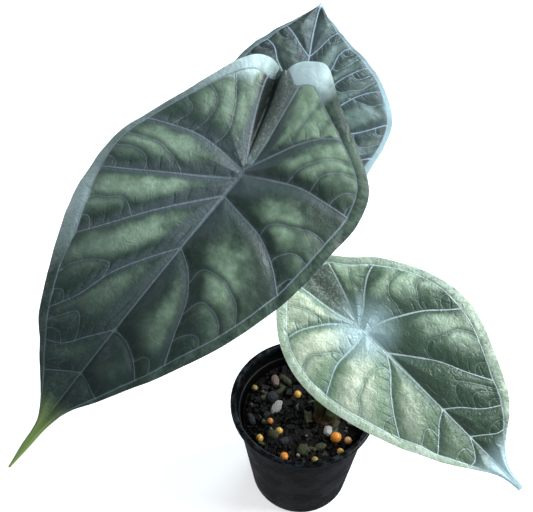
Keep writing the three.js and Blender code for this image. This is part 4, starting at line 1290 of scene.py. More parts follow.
def side_data(leaf, side, nets, line_rows, veins):
    """All that is known about one side of a blade, each as a table over its net."""
    net, places = nets[side]
    flat = net.reshape(-1, 2)
    main = distance_to(veins, flat).reshape(net.shape[:2])
    midrib = distance_to(veins[:1], flat).reshape(net.shape[:2])
    steps = np.linalg.norm(np.diff(net, axis=1), axis=2)
    along = np.concatenate([np.zeros((len(net), 1)), np.cumsum(steps, axis=1)], axis=1)
    depth, start, vein, painted_sheen = (margin_table(leaf, side, line_rows, part)
                                 for part in (ROLL_DEPTH, ROLL_START, VEIN_SHARE, PAINTED_SHEEN))
    long_row = soft_share(along[:, -1:], SHORT_ROW, LONG_ROW)
    depth = depth * long_row
    edge = along - [[np.interp(share, COLUMNS, run)] for share, run in zip(vein[:, 0], along)]
    # The pale paint outside the margin's vein is a painted sheen, and bleed runs it inwards.
    bleed = leaf["bleed"][side] * soft_share(painted_sheen, 0.5, 1)
    turned = (np.maximum(COLUMNS - start, 0) / (1 - start))**2
    outward = net[:, -1:] - net[:, -MARGIN_COLUMNS:1 - MARGIN_COLUMNS]
    outward /= np.linalg.norm(outward, axis=2, keepdims=True)
    net = net + (ROLL_REACH * depth * turned)[..., None] * outward
    branch = branch_distances(leaf, side, net, places, line_rows)
    across = panel_shares(leaf, side, places, line_rows)
    everywhere = np.ones_like(main)
    known = {"net": net, "main": main, "midrib": midrib, "edge": edge, "along": along,
             "round": everywhere * places[:, None], "drop": depth * turned,
             "long_row": everywhere * long_row, "painted_sheen": painted_sheen * soft_share(edge, -0.5 - bleed, 0.5)}
    for name, (first, last) in (("branch", branch), ("across", across)):
        known.update({name + "_first": first, name + "_last": last, name: np.vstack([first, last[-1:]])})
    return known


def both_sides(plus, minus):
    """One table for the whole blade: the minus side runs inwards, the plus side outwards."""
    return np.concatenate([minus[:, :0:-1], plus], axis=1)


def known_tables(leaf):
    """Both halves' tables in one, and the share of the way out for every point."""
    nets, line_rows = weave(leaf)
    veins = main_veins(leaf, nets, line_rows)
    plus, minus = (side_data(leaf, side, nets, line_rows, veins) for side in ("plus", "minus"))
    whole = {key: both_sides(plus[key], minus[key]) for key in plus}
    x, y = whole["net"][..., 0], whole["net"][..., 1]
    whole["along"] += COMB_WANDER * pattern(x, y, COMB_WANDER_SIZE, 5)
    shares = [np.broadcast_to(COLUMNS, half["main"].shape) for half in (plus, minus)]
    return whole, both_sides(*shares)


print("A whole row has", both_sides(COLUMNS[None], COLUMNS[None]).shape[1], "points")

# %% [markdown]
# The blade itself starts as a plain grid with as many rows and columns as the net. Its corners
# are laid onto the net, which no push or pull by hand could do, and each keeps its distances
# for the finishes. Solidify then gives the sheet its thickness, and the underside gets what a
# leaf has there: ribs under the veins, thick by the stalk and gone before the margin.

# %% Making a blade
BLADE_THICKNESS = 0.5
BLADE_CREASES = 60
RIB_HEIGHT = 1.2
FINE_RIB_HEIGHT = 0.22
THICK_RIB_REACH = 16


def store(mesh, name, domain, values):
    mesh.attributes.new(name, "FLOAT", domain).data.foreach_set("value", np.asarray(values, np.float32))


def lay_grid(name, places):
    """A grid with its corners on the given table of places, and each corner's row and column."""
    rows, columns = places.shape[:2]
    clear_selection()
    bpy.ops.mesh.primitive_grid_add(x_subdivisions=columns - 1, y_subdivisions=rows - 1, size=2)
    piece = new_piece(name)
    grid = corners_of(piece)
    column = np.rint((grid[:, 0] + 1) / 2 * (columns - 1)).astype(int)
    row = rows - 1 - np.rint((grid[:, 1] + 1) / 2 * (rows - 1)).astype(int)
    move_corners(piece, places[row, column] * MM)
    return piece, row, column


def store_known(leaf, mesh, whole, fraction, row, column):
    """The tables stay with the mesh, under the names that the finishes ask for."""
    x, y = whole["net"][..., 0], whole["net"][..., 1]
    kept = {"reach": np.hypot(x, y), "ahead": y, "sideways": x - leaf["skew"] * np.maximum(-y, 0),
            "out": fraction, "wall": wedge(leaf, x, y, *leaf["wall"]),
            "channel": wedge(leaf, x, y, *leaf["channel"])}
    kept.update({key: whole[key] for key in ("main", "midrib", "edge", "along", "round", "painted_sheen")})
    for name, values in kept.items():
        store(mesh, name, "POINT", values[row, column])
    corner = np.empty(len(mesh.loops), int)
    mesh.loops.foreach_get("vertex_index", corner)
    strip = np.repeat(row[corner].reshape(-1, 4).min(1), 4)
    at_first = row[corner] == strip
    for name in ("branch", "across"):
        first, last = (whole[name + end][strip, column[corner]] for end in ("_first", "_last"))
        store(mesh, name, "CORNER", np.where(at_first, first, last))


def rib_depth(whole):
    """How far the ribs stand out below, thick by the stalk and gone before the margin."""
    reach = np.hypot(whole["net"][..., 0], whole["net"][..., 1])
    near_stalk = np.exp(-reach / THICK_RIB_REACH)
    main_ribs = (0.35 + near_stalk) * np.exp(-(whole["main"] / (0.55 + 0.9 * near_stalk))**2)
    fine_ribs = np.exp(-(whole["branch"] / 0.5)**2) * (whole["edge"] < 0)
    run_out = 1 - soft_share(whole["edge"], -1.8, -0.4)
    return RIB_HEIGHT * main_ribs * run_out + FINE_RIB_HEIGHT * fine_ribs


def make_blade(leaf):
    whole, fraction = known_tables(leaf)
    x, y = whole["net"][..., 0], whole["net"][..., 1]
    height = broad_height(leaf, x, y) + quilted_height(leaf, whole, fraction)
    axes = blade_axes(leaf)
    lifted = sum(part[..., None] * axis for part, axis in zip((x, y, height), axes))
    blade, row, column = lay_grid("blade_" + leaf["name"], np.array(leaf["stalk_top"]) + lifted)
    store_known(leaf, blade.data, whole, fraction, row, column)
    for _ in range(2):
        blade.data.materials.append(None)
    apply_modifier(blade, "SOLIDIFY", thickness=BLADE_THICKNESS * MM, offset=-1, material_offset=1)
    places = corners_of(blade)
    places[len(row):] -= (rib_depth(whole)[row, column] * MM)[:, None] * axes[2]
    move_corners(blade, places)
    smooth(blade, BLADE_CREASES)
    print(blade.name, "is", [round(side / MM) for side in blade.dimensions], "mm")
    return blade


blades = {leaf["name"]: make_blade(leaf) for leaf in LEAVES}

# %% [markdown]
# The veins are drawn by distance. The mesh knows how far each point is from the nearest main
# vein, from the midrib, from the nearest fine vein and from the vein inside the margin. A group
# turns these into masks: pale lines, the dusky bands that go with them, and the margin. Lines
# are thickest at the stalk, the midrib most of all.

# %% Veins from distances


def make_veins():
    inputs = {"Main": 5.0, "Midrib": 9.0, "Branch": 5.0, "Edge": -5.0, "Reach": 20.0, "Width": 0.4,
              "Band": 4.0}
    group, given, wanted = new_group("veins", inputs, ["Lines", "Arcs", "Rim line", "Bands", "Margin"])
    wobble = maths(group, "SUBTRACT", noise_at(group, 3.0, 2.0), 0.5)
    near_stalk = soft_fall(group, given["Reach"], 0.0, 40.0)
    inside = soft_fall(group, given["Edge"], -0.5, 0.2)
    branch = maths(group, "ABSOLUTE", scaled(group, wobble, 0.5, given["Branch"]))
    edge = maths(group, "ABSOLUTE", scaled(group, wobble, 0.4, given["Edge"]))

    width = times(group, given["Width"], scaled(group, near_stalk, 0.7, 0.8))
    line = soft_fall(group, scaled(group, wobble, 0.22, given["Main"]), times(group, width, 0.3), width)
    rib_width = times(group, given["Width"], scaled(group, near_stalk, 1.7, 1.0))
    rib = soft_fall(group, given["Midrib"], times(group, rib_width, 0.35), rib_width)
    feed(group, wanted["Lines"], maths(group, "MAXIMUM", line, rib))
    fine = soft_fall(group, branch, 0.05, times(group, given["Width"], 0.9))
    feed(group, wanted["Arcs"], times(group, fine, inside))
    feed(group, wanted["Rim line"], soft_fall(group, edge, 0.08, times(group, given["Width"], 1.1)))

    band = times(group, given["Band"], scaled(group, near_stalk, 0.7, 0.45))
    main_band = soft_fall(group, scaled(group, wobble, 2.4, given["Main"]), times(group, band, 0.3), band)
    rib_band = soft_fall(group, scaled(group, wobble, 4.0, given["Midrib"]), times(group, band, 0.5),
                         times(group, band, 2.4))
    fine_band = times(group, soft_step(group, branch, 0.2, 1.3, 0.4, 0.0), inside)
    wide_bands = maths(group, "MAXIMUM", main_band, rib_band)
    feed(group, wanted["Bands"], maths(group, "MAXIMUM", wide_bands, fine_band))
    feed(group, wanted["Margin"], soft_step(group, given["Edge"], -0.2, 0.5))
    return group


def make_net():
    """The finest net of veins between the others: thin lines round small uneven cells."""
    group, given, wanted = new_group("fine_net", {"Cell": 2.4}, ["Lines"])
    place = place_in_piece(group)
    stir = add_node(group, "TexNoise", {"Vector": place, "Scale": 1 / (2.4 * MM), "Detail": 3.0})
    moved = add_node(group, "VectorMath", {0: stir.outputs["Color"], 1: (3 * MM,) * 3, 2: place},
                     operation="MULTIPLY_ADD").outputs[0]
    inputs = {"Vector": moved, "Scale": per_metre(group, given["Cell"])}
    cells = add_node(group, "TexVoronoi", inputs, feature="DISTANCE_TO_EDGE")
    patches = soft_step(group, noise_at(group, 9.0, 2.0), 0.42, 0.6)
    lines = soft_fall(group, cells.outputs["Distance"], 0.0, 0.07)
    feed(group, wanted["Lines"], times(group, lines, patches))
    return group


VEINS = make_veins()
FINE_NET = make_net()
print("Vein groups are ready")

# %% [markdown]
# Between two veins a panel isn't even. It is palest a little nearer the vein on the stalk's
# side and dark green towards the next vein: partly the panel's own silvery colour and partly
# painted light and shade, as on a quilt lit from one side. Short creases run from that vein
# into the panel, as on a quilt that is gathered along its seam, and the dark line painted along
# each stands in for the shade in it. A second group draws these from more numbers that the mesh
# carries: how far across its panel a point lies, how far out from the midrib and how far along
# its line, which counts the creases. A third makes the crinkles of the skin.

# %% Panels between the veins


def make_panels():
    inputs = {"Main": 5.0, "Branch": 5.0, "Across": 0.4, "Out": 0.5, "Along": 10.0, "Start": 0.1,
              "End": 0.8}
    group, given, wanted = new_group("panels", inputs, ["Light", "Creases"])
    wobble = maths(group, "SUBTRACT", noise_at(group, 6.0, 3.0), 0.5)
    across = scaled(group, wobble, 0.28, given["Across"])
    out = scaled(group, wobble, 0.25, given["Out"])
    bell = times(group, soft_step(group, across, 0.03, 0.34), soft_fall(group, across, 0.48, 0.84))
    begun = soft_step(group, maths(group, "SUBTRACT", out, given["Start"]), 0.0, 0.32)
    ended = soft_step(group, maths(group, "SUBTRACT", out, given["End"]), 0.0, 0.16, 1.0, 0.3)
    off_arcs = soft_step(group, maths(group, "ABSOLUTE", given["Branch"]), 0.3, 2.4, 0.45, 1.0)
    feed(group, wanted["Light"], times(group, bell, begun, ended, off_arcs))

    turns = maths(group, "SUBTRACT", maths(group, "DIVIDE", given["Along"], COMB_SPACING), 0.25)
    gap = maths(group, "ABSOLUTE", maths(group, "SUBTRACT", maths(group, "FRACT", turns), 0.5))
    crease = soft_fall(group, times(group, gap, COMB_SPACING), 0.08, 0.5)
    off_vein = soft_step(group, given["Main"], 0.3, 1.0)
    by_vein = soft_fall(group, given["Main"], 2.0, 5.5)
    far_side = soft_step(group, given["Across"], 0.4, 0.7)
    some = soft_step(group, noise_at(group, 5.0, 1.0), 0.38, 0.5)
    feed(group, wanted["Creases"], times(group, crease, off_vein, by_vein, far_side, some))
    return group


def make_crinkles():
    """Fine sharp-crested wrinkles, as on thin leather."""
    group, given, wanted = new_group("crinkles", {"Size": 1.8}, ["Height"])
    inputs = {"Vector": place_in_piece(group), "Scale": per_metre(group, given["Size"]), "Detail": 3.0,
              "Roughness": 0.55, "Distortion": 0.6}
    folds = add_node(group, "TexNoise", inputs).outputs["Fac"]
    ridge = maths(group, "ABSOLUTE", maths(group, "SUBTRACT", folds, 0.5))
    feed(group, wanted["Height"], scaled(group, ridge, -4.0, 1.0))
    return group


PANELS = make_panels()
CRINKLES = make_crinkles()
print("Panel groups are ready")

# %% [markdown]
# The upper skin puts these together: pale green in the light of each panel, dusky along the
# veins, and the veins themselves drawn in pale blue-grey. It is painted coat by coat, so each
# line of paint covers part of what the lines before it laid down. A leaf's two halves differ,
# partly as painted light and shade: the plus half is painted lighter and the minus half darker.
# A pair in a table gives the plus half first and the minus half second.

# %% Upper skin of the leaves
VEIN_SOCKETS = ("Main", "Midrib", "Branch", "Edge", "Reach")
PANEL_SOCKETS = ("Main", "Branch", "Across", "Out", "Along")


def known_values(tree, sockets):
    """What the mesh knows about a point, for the sockets of the same names."""
    return {socket: named_value(tree, socket.lower()) for socket in sockets}


def skin_colour(tree, dyes, look, minus_half, spots):
    """The skin's colour, and the masks that its relief needs too."""
    ahead, reach, wall, channel = (named_value(tree, name) for name in ("ahead", "reach", "wall", "channel"))

    def on_halves(key):
        on_plus, on_minus = look[key]
        return scaled(tree, minus_half, on_minus - on_plus, on_plus)

    # A pair of dyes gives the plus half a lighter colour than the minus half: partly painted light and shade
    # on the two sides of the fold.
    def dye_on_halves(key):
        return mix_colours(tree, minus_half, *dyes[key])

    def towards_tip(near, far):
        return soft_step(tree, ahead, look["fades_from"], look["fades_to"], near, far)

    def paint(under, share, over):
        return mix_colours(tree, share, under, over)

    # The dusky band along a vein is partly the leaf's own colour; where it is wider on one side of a panel
    # than the other, the extra width is a painted sheen on slopes that face one way.
    band = soft_step(tree, named_value(tree, "across"), 0.25, 0.75, on_halves("first_band"),
                     on_halves("last_band"))
    veins = place_group(tree, VEINS, Width=look["width"], Band=band, **known_values(tree, VEIN_SOCKETS))
    # Towards the tip the skin is painted darker and its pale parts fade: painted shade.
    tip_shade = towards_tip(0.0, look["darkens"])
    starts = scaled(tree, tip_shade, look["shrinks"], on_halves("starts"))
    panels = place_group(tree, PANELS, Start=starts, End=on_halves("ends"),
                         **known_values(tree, PANEL_SOCKETS))
    lobes = times(tree, on_halves("lobes"), soft_fall(tree, ahead, -24.0, -8.0))
    light = maths(tree, "MAXIMUM", times(tree, panels["Light"], towards_tip(1.0, look["fades_by"])), lobes)
    light = times(tree, light, scaled(tree, spots, 0.35, 0.65), soft_step(tree, reach, *look["shade"]))
    colour = paint(dye_on_halves("panel"), light, dye_on_halves("middle"))
    colour = paint(colour, times(tree, veins["Bands"], 0.85), dye_on_halves("band"))
    colour = paint(colour, tip_shade, dyes["dark"])
    net = place_group(tree, FINE_NET, Cell=2.8)["Lines"]
    colour = paint(colour, times(tree, net, look["net"], scaled(tree, light, 0.7, 0.3)), dyes["vein"])
    # Dark paint along the short creases: painted shade in them.
    colour = paint(colour, times(tree, panels["Creases"], look["creases"]), dyes["crease"])

    # The cleft's wall is painted pale and speckled, as light on it, and its bottom dark, as shade.
    speckles = soft_step(tree, noise_at(tree, 0.8, 3.0, 0.65), 0.46, 0.68)
    colour = paint(colour, wall, mix_colours(tree, speckles, *dyes["wall"]))
    colour = paint(colour, channel, dyes["channel"])
    border = times(tree, soft_step(tree, wall, 0.02, 0.35), soft_fall(tree, wall, 0.55, 0.95))
    off_channel = scaled(tree, channel, -look["wall_line"], look["wall_line"])
    colour = paint(colour, times(tree, border, off_channel), dyes["wall_line"])

    round_and_out = {"X": named_value(tree, "round"), "Y": named_value(tree, "edge")}
    way_round = add_node(tree, "CombineXYZ", round_and_out).outputs[0]
    stretched = add_node(tree, "Mapping", {"Vector": way_round, "Scale": (1.1, 0.15, 1)}).outputs[0]
    folds = add_node(tree, "TexNoise", {"Vector": stretched, "Scale": 1.0, "Detail": 3.0}).outputs["Fac"]
    margin = paint(dye_on_halves("margin"), spots, dye_on_halves("margin_light"))
    margin = paint(margin, times(tree, tip_shade, look["margin_darkens"]), dyes["dark"])
    colour = paint(colour, veins["Margin"], margin)
    # A pale paint on parts of the margin, broken by its folds: a painted sheen.
    painted_sheen = times(tree, named_value(tree, "painted_sheen"), scaled(tree, folds, 0.5, 0.8))
    colour = paint(colour, painted_sheen, dyes["painted_sheen"])
    paling = towards_tip(1.0, look["veins_fade"])
    for lines, share in (("Arcs", on_halves("arcs")), ("Rim line", look["rim"]), ("Lines", look["veins"])):
        colour = paint(colour, times(tree, veins[lines], share, paling), dyes["vein"])
    heart = soft_step(tree, reach, 0.5, look["heart_reach"], look["heart"], 0.0)
    colour = paint(colour, heart, dyes["heart"])
    colour = paint(colour, soft_step(tree, ahead, look["tip_from"], look["tip_to"]), dyes["tip"])
    return colour, veins, panels["Creases"], folds


print("Sockets fed by the mesh:", sorted({*VEIN_SOCKETS, *PANEL_SOCKETS}))

# %% [markdown]
# The skin's relief is a fine pebbling with crinkles, raised veins, and short folds that cross
# the margin. The same masks that place the dyes raise and lower it, so colour and relief agree.

# %% Relief of the upper skin


def skin_relief(tree, look, minus_half, veins, creases, folds):
    height = times(tree, place_group(tree, PEBBLES, Size=0.7)["Height"], 0.6)
    fine_veins = maths(tree, "MAXIMUM", veins["Arcs"], veins["Rim line"])
    crinkles = place_group(tree, CRINKLES, Size=look["crinkle"])["Height"]
    puckers = times(tree, folds, veins["Margin"])
    for part, rise in ((crinkles, 1.5), (veins["Lines"], 1.2), (fine_veins, 0.8), (creases, -1.6),
                       (puckers, look["puckers"])):
        height = scaled(tree, part, rise, height)
    return times(tree, height, scaled(tree, minus_half, look["minus_relief"] - 1, 1.0))


def leaf_skin(name, dyes, look):
    dullness = look["roughness"]
    material, tree, shader = new_material(name, dullness, Specular_IOR_Level=look["gloss"])
    minus_half = soft_fall(tree, named_value(tree, "sideways"), -1.5, 1.5)
    spots = place_group(tree, MOTTLE, Large=6.0, Small=1.3)["Mask"]
    colour, *masks = skin_colour(tree, dyes, look, minus_half, spots)
    height = skin_relief(tree, look, minus_half, *masks)
    uneven = soft_step(tree, spots, 0.0, 1.0, dullness - 0.05, dullness + 0.08)
    lead_to(tree, shader, colour, height, look["relief"], roughness=uneven)
    return material


print("The rule for leaf skins is ready")

# %% [markdown]
# The three leaves differ in age and in how light falls on them, so the one rule makes their
# three skins from different dyes and shares. What they have in common stands in a table of its
# own, and a leaf's own table overrides it. The dyes of the cleft stand there too: its wall,
# painted pale as if lit, its bottom, painted dark as shade, and the pale line along its wall,
# since the large leaf is the only one that shows them all.

# %% Dyes and shares of the three skins
COMMON_DYES = {"wall": (dye(110, 124, 117), dye(152, 166, 158)), "channel": dye(24, 38, 36),
               "wall_line": dye(178, 204, 204)}
# In each leaf's dyes the plus half is lighter than the minus half, partly as painted light and shade, and the
# pale dye for the margins is a painted sheen.
SKIN_DYES = {
    "a": {"panel": (dye(50, 74, 64), dye(38, 60, 50)), "middle": (dye(150, 179, 155), dye(150, 182, 154)),
          "band": (dye(80, 95, 99), dye(66, 83, 83)), "dark": dye(18, 40, 37),
          "vein": dye(136, 154, 164), "crease": dye(42, 58, 56),
          "margin": (dye(54, 74, 68), dye(42, 62, 54)),
          "margin_light": (dye(90, 110, 102), dye(78, 102, 86)),
          "painted_sheen": dye(222, 252, 254), "heart": dye(78, 92, 96), "tip": dye(128, 156, 84)},
    "b": {"panel": (dye(46, 62, 60), dye(30, 42, 40)), "middle": (dye(94, 116, 110), dye(56, 72, 64)),
          "band": (dye(52, 68, 72), dye(40, 53, 56)), "dark": dye(14, 32, 26),
          "vein": dye(142, 168, 182), "crease": dye(40, 54, 58),
          "margin": (dye(80, 98, 106), dye(70, 84, 88)),
          "margin_light": (dye(106, 126, 128), dye(96, 112, 112)),
          "painted_sheen": dye(152, 184, 194), "heart": dye(74, 88, 98), "tip": dye(190, 222, 224)},
    "c": {"panel": (dye(132, 162, 134), dye(70, 96, 78)), "middle": (dye(236, 250, 226), dye(186, 214, 188)),
          "band": (dye(114, 142, 128), dye(74, 98, 86)), "dark": dye(52, 76, 56),
          "vein": dye(206, 234, 236), "crease": dye(84, 104, 90),
          "margin": (dye(180, 206, 180), dye(124, 146, 128)),
          "margin_light": (dye(216, 236, 218), dye(180, 202, 182)),
          "painted_sheen": dye(150, 166, 160), "heart": dye(196, 228, 236), "tip": dye(190, 222, 230),
          "wall": (dye(96, 110, 102), dye(150, 168, 160))},
}
COMMON_LOOK = {"ends": (0.8, 0.8), "lobes": (0.0, 0.0), "shade": (0.0, 4.0), "shrinks": 0.0,
               "veins_fade": 1.0, "margin_darkens": 0.0, "wall_line": 0.0, "minus_relief": 1.0}
LOOKS = {
    "a": {"roughness": 0.5, "gloss": 0.45, "relief": 0.09, "crinkle": 3.2, "puckers": 2.0,
          "minus_relief": 0.6, "first_band": (3.2, 5.6), "last_band": (6.0, 1.8), "starts": (0.08, 0.12),
          "ends": (0.8, 0.58), "lobes": (0.7, 0.98), "shade": (6.0, 22.0), "width": 0.32, "veins": 0.6,
          "arcs": (0.35, 0.35), "rim": 0.75, "net": 0.24, "creases": 0.35, "wall_line": 0.85,
          "fades_from": 20.0, "fades_to": 78.0, "fades_by": 0.4, "darkens": 0.88,
          "margin_darkens": 0.7, "veins_fade": 0.4, "heart": 0.6, "heart_reach": 12.0,
          "tip_from": 84.0, "tip_to": 100.0},
    "b": {"roughness": 0.42, "gloss": 0.25, "relief": 0.05, "crinkle": 4.0, "puckers": 1.0,
          "first_band": (4.2, 4.2), "last_band": (4.2, 4.2), "starts": (0.1, 0.1), "width": 0.4,
          "veins": 0.8, "arcs": (0.4, 0.1), "rim": 0.6, "net": 0.1, "creases": 0.1,
          "fades_from": 72.0, "fades_to": 84.0, "fades_by": 0.3, "darkens": 0.9, "heart": 0.6,
          "heart_reach": 10.0, "tip_from": 88.0, "tip_to": 94.0},
    "c": {"roughness": 0.38, "gloss": 0.5, "relief": 0.18, "crinkle": 2.8, "puckers": 0.8,
          "minus_relief": 0.8, "first_band": (3.4, 3.4), "last_band": (3.4, 3.4),
          "starts": (0.05, 0.33), "ends": (0.8, 0.86), "lobes": (0.75, 1.05), "shrinks": 0.4,
          "width": 0.37, "veins": 0.9, "arcs": (0.4, 0.15), "rim": 0.9, "net": 0.2, "creases": 0.4,
          "fades_from": 12.0, "fades_to": 56.0, "fades_by": 0.25, "darkens": 0.6, "heart": 0.95,
          "heart_reach": 17.0, "tip_from": 60.0, "tip_to": 72.0},
}
SKIN_NAMES = {"a": "old_leaf_skin", "b": "far_leaf_skin", "c": "young_leaf_skin"}
SKINS = {leaf: leaf_skin(name, {**COMMON_DYES, **SKIN_DYES[leaf]}, {**COMMON_LOOK, **LOOKS[leaf]})
         for leaf, name in SKIN_NAMES.items()}
print("Leaf skins:", sorted(SKIN_NAMES.values()))

# %% [markdown]
# The underside is paler and duller, a silvery green, and its ribs are wine-red, as they are on
# this plant. It is the same on all three leaves, so they share it.

# %% Underside of the leaves
underside, tree, shader = new_material("leaf_underside", 0.6, Specular_IOR_Level=0.3)
masks = place_group(tree, VEINS, Width=0.6, Band=2.0, **known_values(tree, VEIN_SOCKETS))
spots = place_group(tree, MOTTLE, Large=9.0, Small=1.4)["Mask"]
silver = mix_colours(tree, spots, dye(126, 148, 118), dye(154, 172, 142))
tinted = mix_colours(tree, times(tree, masks["Bands"], 0.45), silver, dye(116, 104, 96))
drawn = maths(tree, "MAXIMUM", masks["Arcs"], masks["Rim line"])
fine = mix_colours(tree, times(tree, drawn, 0.4), tinted, dye(112, 74, 68))
run_out = soft_step(tree, named_value(tree, "edge"), -1.8, -0.4, 0.85, 0.0)
ribbed = mix_colours(tree, times(tree, masks["Lines"], run_out), fine, dye(96, 40, 46))
net = place_group(tree, FINE_NET, Cell=2.2)["Lines"]
netted = mix_colours(tree, times(tree, net, 0.3), ribbed, dye(108, 112, 92))
lead_to(tree, shader, netted, place_group(tree, PEBBLES, Size=0.6)["Height"], 0.06)
for name, blade in blades.items():
    blade.data.materials[0] = SKINS[name]
    blade.data.materials[1] = underside
    hand_over(blade, None, "leaf_" + name, "leaf_" + name)

# %% [markdown]
# Each stalk rises from the crown, leans out and turns up into the underside of its blade, a
# little behind the middle. It is a tapering round rod, so a curve with a round bevel is the
# simplest way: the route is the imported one, the radius shrinks on the way up and swells again
# where stalk and blade join. The curve is turned into a mesh before it is finished.

# %% Stalks
STALK_FOOT_RADIUS = 2.1
STALK_TOP_RADIUS = 1.4
STALK_FOOT_LEVEL = 49.0
STALK_STEPS = 110
STALK_PILLAR = 9
STALK_INTO_BLADE = 0.8
ROD_FINENESS = 8
ROD_CREASES = 40
ROUTES = {
    "a": [(8.6, -0.6, STALK_FOOT_LEVEL), (8.2, -0.5, 64), (4, 0, 100), (-6.5, -0.5, 150), (-19, -9, 200)],
    "b": [(11.7, 2.1, STALK_FOOT_LEVEL), (11.6, 2.4, 64), (8.5, 7, 100), (2, 14, 150), (-4.5, 19.5, 192)],
    "c": [(13, -3.2, STALK_FOOT_LEVEL), (13.2, -3.5, 64), (14.5, -8.5, 90), (17, -14, 118), (19.2, -19, 138)],
}


def stalk_route(leaf, count=STALK_STEPS):
    top = np.array(leaf["stalk_top"], float)
    up = blade_axes(leaf)[2]
    ends = [top - STALK_PILLAR * up, top - STALK_INTO_BLADE * up]
    return rounded_route([*ROUTES[leaf["name"]], *ends], count)


def stalk_radius(share):
    taper = STALK_FOOT_RADIUS + (STALK_TOP_RADIUS - STALK_FOOT_RADIUS) * share**0.8
    return taper + 0.5 * soft_share(share, 0.975, 1.0)


def rod_along(name, route, radii, fineness):
    """A round rod along a route of points, with a radius for each of them."""
    clear_selection()
    bpy.ops.curve.primitive_bezier_curve_add()
    piece = new_piece(name)
    piece.data.splines.clear()
    line = piece.data.splines.new("POLY")
    line.points.add(len(route) - 1)
    line.points.foreach_set("co", np.column_stack([route * MM, np.ones(len(route))]).ravel())
    line.points.foreach_set("radius", radii)
    piece.data.dimensions = "3D"
    piece.data.bevel_depth = MM
    piece.data.bevel_resolution = fineness
    piece.data.use_fill_caps = True
    pick(piece)
    bpy.ops.object.convert(target="MESH")
    return new_piece(name)


stalk_skin, tree, shader = new_material("stalk_skin", 0.45, Specular_IOR_Level=0.4, Subsurface_Weight=0.15,
                                        Subsurface_Scale=0.002)
stripes = place_group(tree, FIBRES, Size=0.9, Z=0.12)["Streaks"]
fresh = mix_colours(tree, soft_step(tree, height_in_piece(tree), 0.07, 0.2), dye(96, 112, 62),
                    dye(134, 152, 92))
striped = mix_colours(tree, soft_step(tree, stripes, 0.52, 0.66, 0, 0.6), fresh, dye(72, 66, 48))
flecks = place_group(tree, MOTTLE, Large=1.5, Small=0.5)["Mask"]
flecked = mix_colours(tree, times(tree, flecks, 0.25), striped, dye(168, 180, 140))
lead_to(tree, shader, flecked, stripes, 0.1)

for leaf in LEAVES:
    route = stalk_route(leaf)
    radii = [stalk_radius(share) for share in np.linspace(0, 1, len(route))]
    stalk = rod_along("petiole_" + leaf["name"], route, radii, ROD_FINENESS)
    smooth(stalk, ROD_CREASES)
    hand_over(stalk, stalk_skin, "stalk", "stalk_" + leaf["name"])

# %% [markdown]
# The stalks come out of one short crown, a rough brown stub that stands with its foot in the
# mix. It is pulled up in rings like the pot, and noise then batters its side and its top.

# %% Crown stub
CROWN_RADIUS = 7.0
CROWN_BOTTOM = 45.0
CROWN_TOP = 60.0
CROWN_SIDES = 64
BATTERING = 0.14
BATTER_SIZE = 2.2

stub_stations = [(AXIS_RING, CROWN_BOTTOM), (CROWN_RADIUS - 2, CROWN_BOTTOM),
                 (CROWN_RADIUS - 0.5, CROWN_BOTTOM + 2)]
stub_stations += [(CROWN_RADIUS, level) for level in range(48, 57)]
stub_stations += [(6.6, 57.6), (6.0, 58.6), (5.0, 59.3), (3.6, 59.8), (2.0, CROWN_TOP),
                  (AXIS_RING, CROWN_TOP)]
stub = pull_up("crown_stub", stub_stations, CROWN_SIDES)
places = corners_of(stub) / MM
for place in places:
    roughness = noise.turbulence(Vector((place[0], place[1], place[2] * 0.5)) / BATTER_SIZE, 3, False)
    place[:2] *= 1 - BATTERING * roughness
    place[:2] += CROWN_CENTRE
    if place[2] > SOIL_TOP:
        place[2] -= roughness
move_corners(stub, places * MM)
smooth(stub)
print("The stub is", [round(side / MM, 1) for side in stub.dimensions], "mm")

# %% [markdown]
# Round each stalk's foot stands a sheath: the widened, papery edge of the stalk itself, open
# at a slant. It is a wider tube along the same route. Its end caps are the only faces with
# more than four corners, so they are easy to find and delete.

# %% Sheaths
SHEATH_STEPS = 400
SHEATH_REACH = {"a": 0.14, "b": 0.12, "c": 0.19}
SHEATH_SLANT = {"a": (0.5, -0.85, 0), "b": (0.5, -0.85, 0), "c": (-0.6, -0.8, 0)}
SHEATH_GAP = 0.35
SHEATH_WALL = 0.7
SHEATH_TAPER = 0.6
SHEATH_THICKNESS = 0.35
MOUTH_DEPTH = 7
MOUTH_DROP = 2.6
MOUTH_SLOPE = 0.75

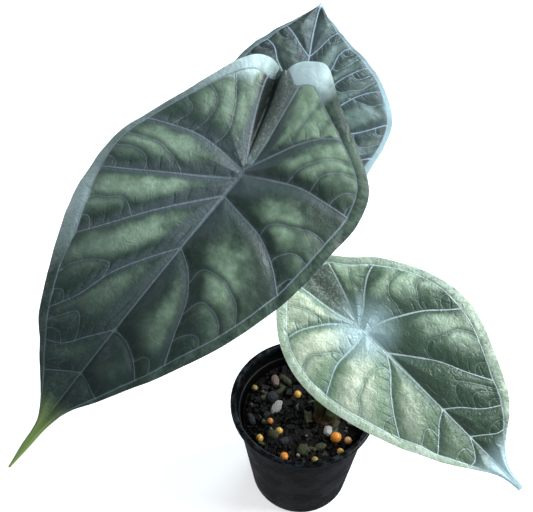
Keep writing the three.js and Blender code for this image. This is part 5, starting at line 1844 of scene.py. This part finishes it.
sheaths = []
for leaf in LEAVES:
    name = leaf["name"]
    route = stalk_route(leaf, SHEATH_STEPS)[:int(SHEATH_STEPS * SHEATH_REACH[name])]
    shares = np.linspace(0, 1, len(route))
    radii = [STALK_FOOT_RADIUS + SHEATH_GAP + SHEATH_WALL * (1 - SHEATH_TAPER * share) for share in shares]
    sheath = rod_along("sheath", route, radii, ROD_FINENESS)
    enter_edit(sheath, "DESELECT")
    leave_edit()
    for face in sheath.data.polygons:
        face.select = len(face.vertices) > 4
    bpy.ops.object.mode_set(mode="EDIT")
    bpy.ops.mesh.delete(type="FACE")
    leave_edit()
    places = corners_of(sheath) / MM
    top = route[-1]
    near_top = soft_share(places[:, 2], top[2] - MOUTH_DEPTH, top[2])
    slant = (places - top) @ np.array(SHEATH_SLANT[name])
    places[:, 2] -= near_top * (MOUTH_DROP + MOUTH_SLOPE * slant)
    move_corners(sheath, places * MM)
    apply_modifier(sheath, "SOLIDIFY", thickness=SHEATH_THICKNESS * MM, offset=-1)
    smooth(sheath, ROD_CREASES)
    sheaths.append(sheath)
sheaths = merge_pieces(sheaths, "crown_sheaths")
print("The sheaths are", [round(side / MM, 1) for side in sheaths.dimensions], "mm")

# %% [markdown]
# A sheath turns from brown at the mix to the green of the stalks, with fine brown veins along
# it. The stub is brown and corky, with the rings that old leaves left.

# %% Crown finishes
sheath_skin, tree, shader = new_material("sheath_skin", 0.5, Specular_IOR_Level=0.35)
veinlets = place_group(tree, FIBRES, Size=0.7, Z=0.1)["Streaks"]
above_mix = soft_step(tree, height_in_piece(tree), (SOIL_TOP - 1) * MM, (SOIL_TOP + 15) * MM)
green = mix_colours(tree, above_mix, dye(66, 54, 38), dye(74, 92, 52))
lined = mix_colours(tree, soft_step(tree, veinlets, 0.48, 0.62, 0, 0.7), green, dye(50, 42, 30))
papery = soft_step(tree, veinlets, 0.35, 0.65, 0.4, 0.65)
lead_to(tree, shader, lined, veinlets, 0.15, roughness=papery)
hand_over(sheaths, sheath_skin, "crown")

stub_skin, tree, shader = new_material("stub_skin", 0.85, Specular_IOR_Level=0.2)
rings = place_group(tree, FIBRES, Size=1.6, Detail=5.0, Roughness=0.65, X=0.4, Y=0.4, Z=2.0)["Streaks"]
spots = place_group(tree, MOTTLE, Large=3.0, Small=0.8)["Mask"]
bark_brown = mix_colours(tree, rings, dye(30, 22, 16), dye(92, 70, 48))
spotted = mix_colours(tree, times(tree, spots, 0.4), bark_brown, dye(18, 15, 12))
lead_to(tree, shader, spotted, rings, 0.5)
hand_over(stub, stub_skin, "crown", "crown")
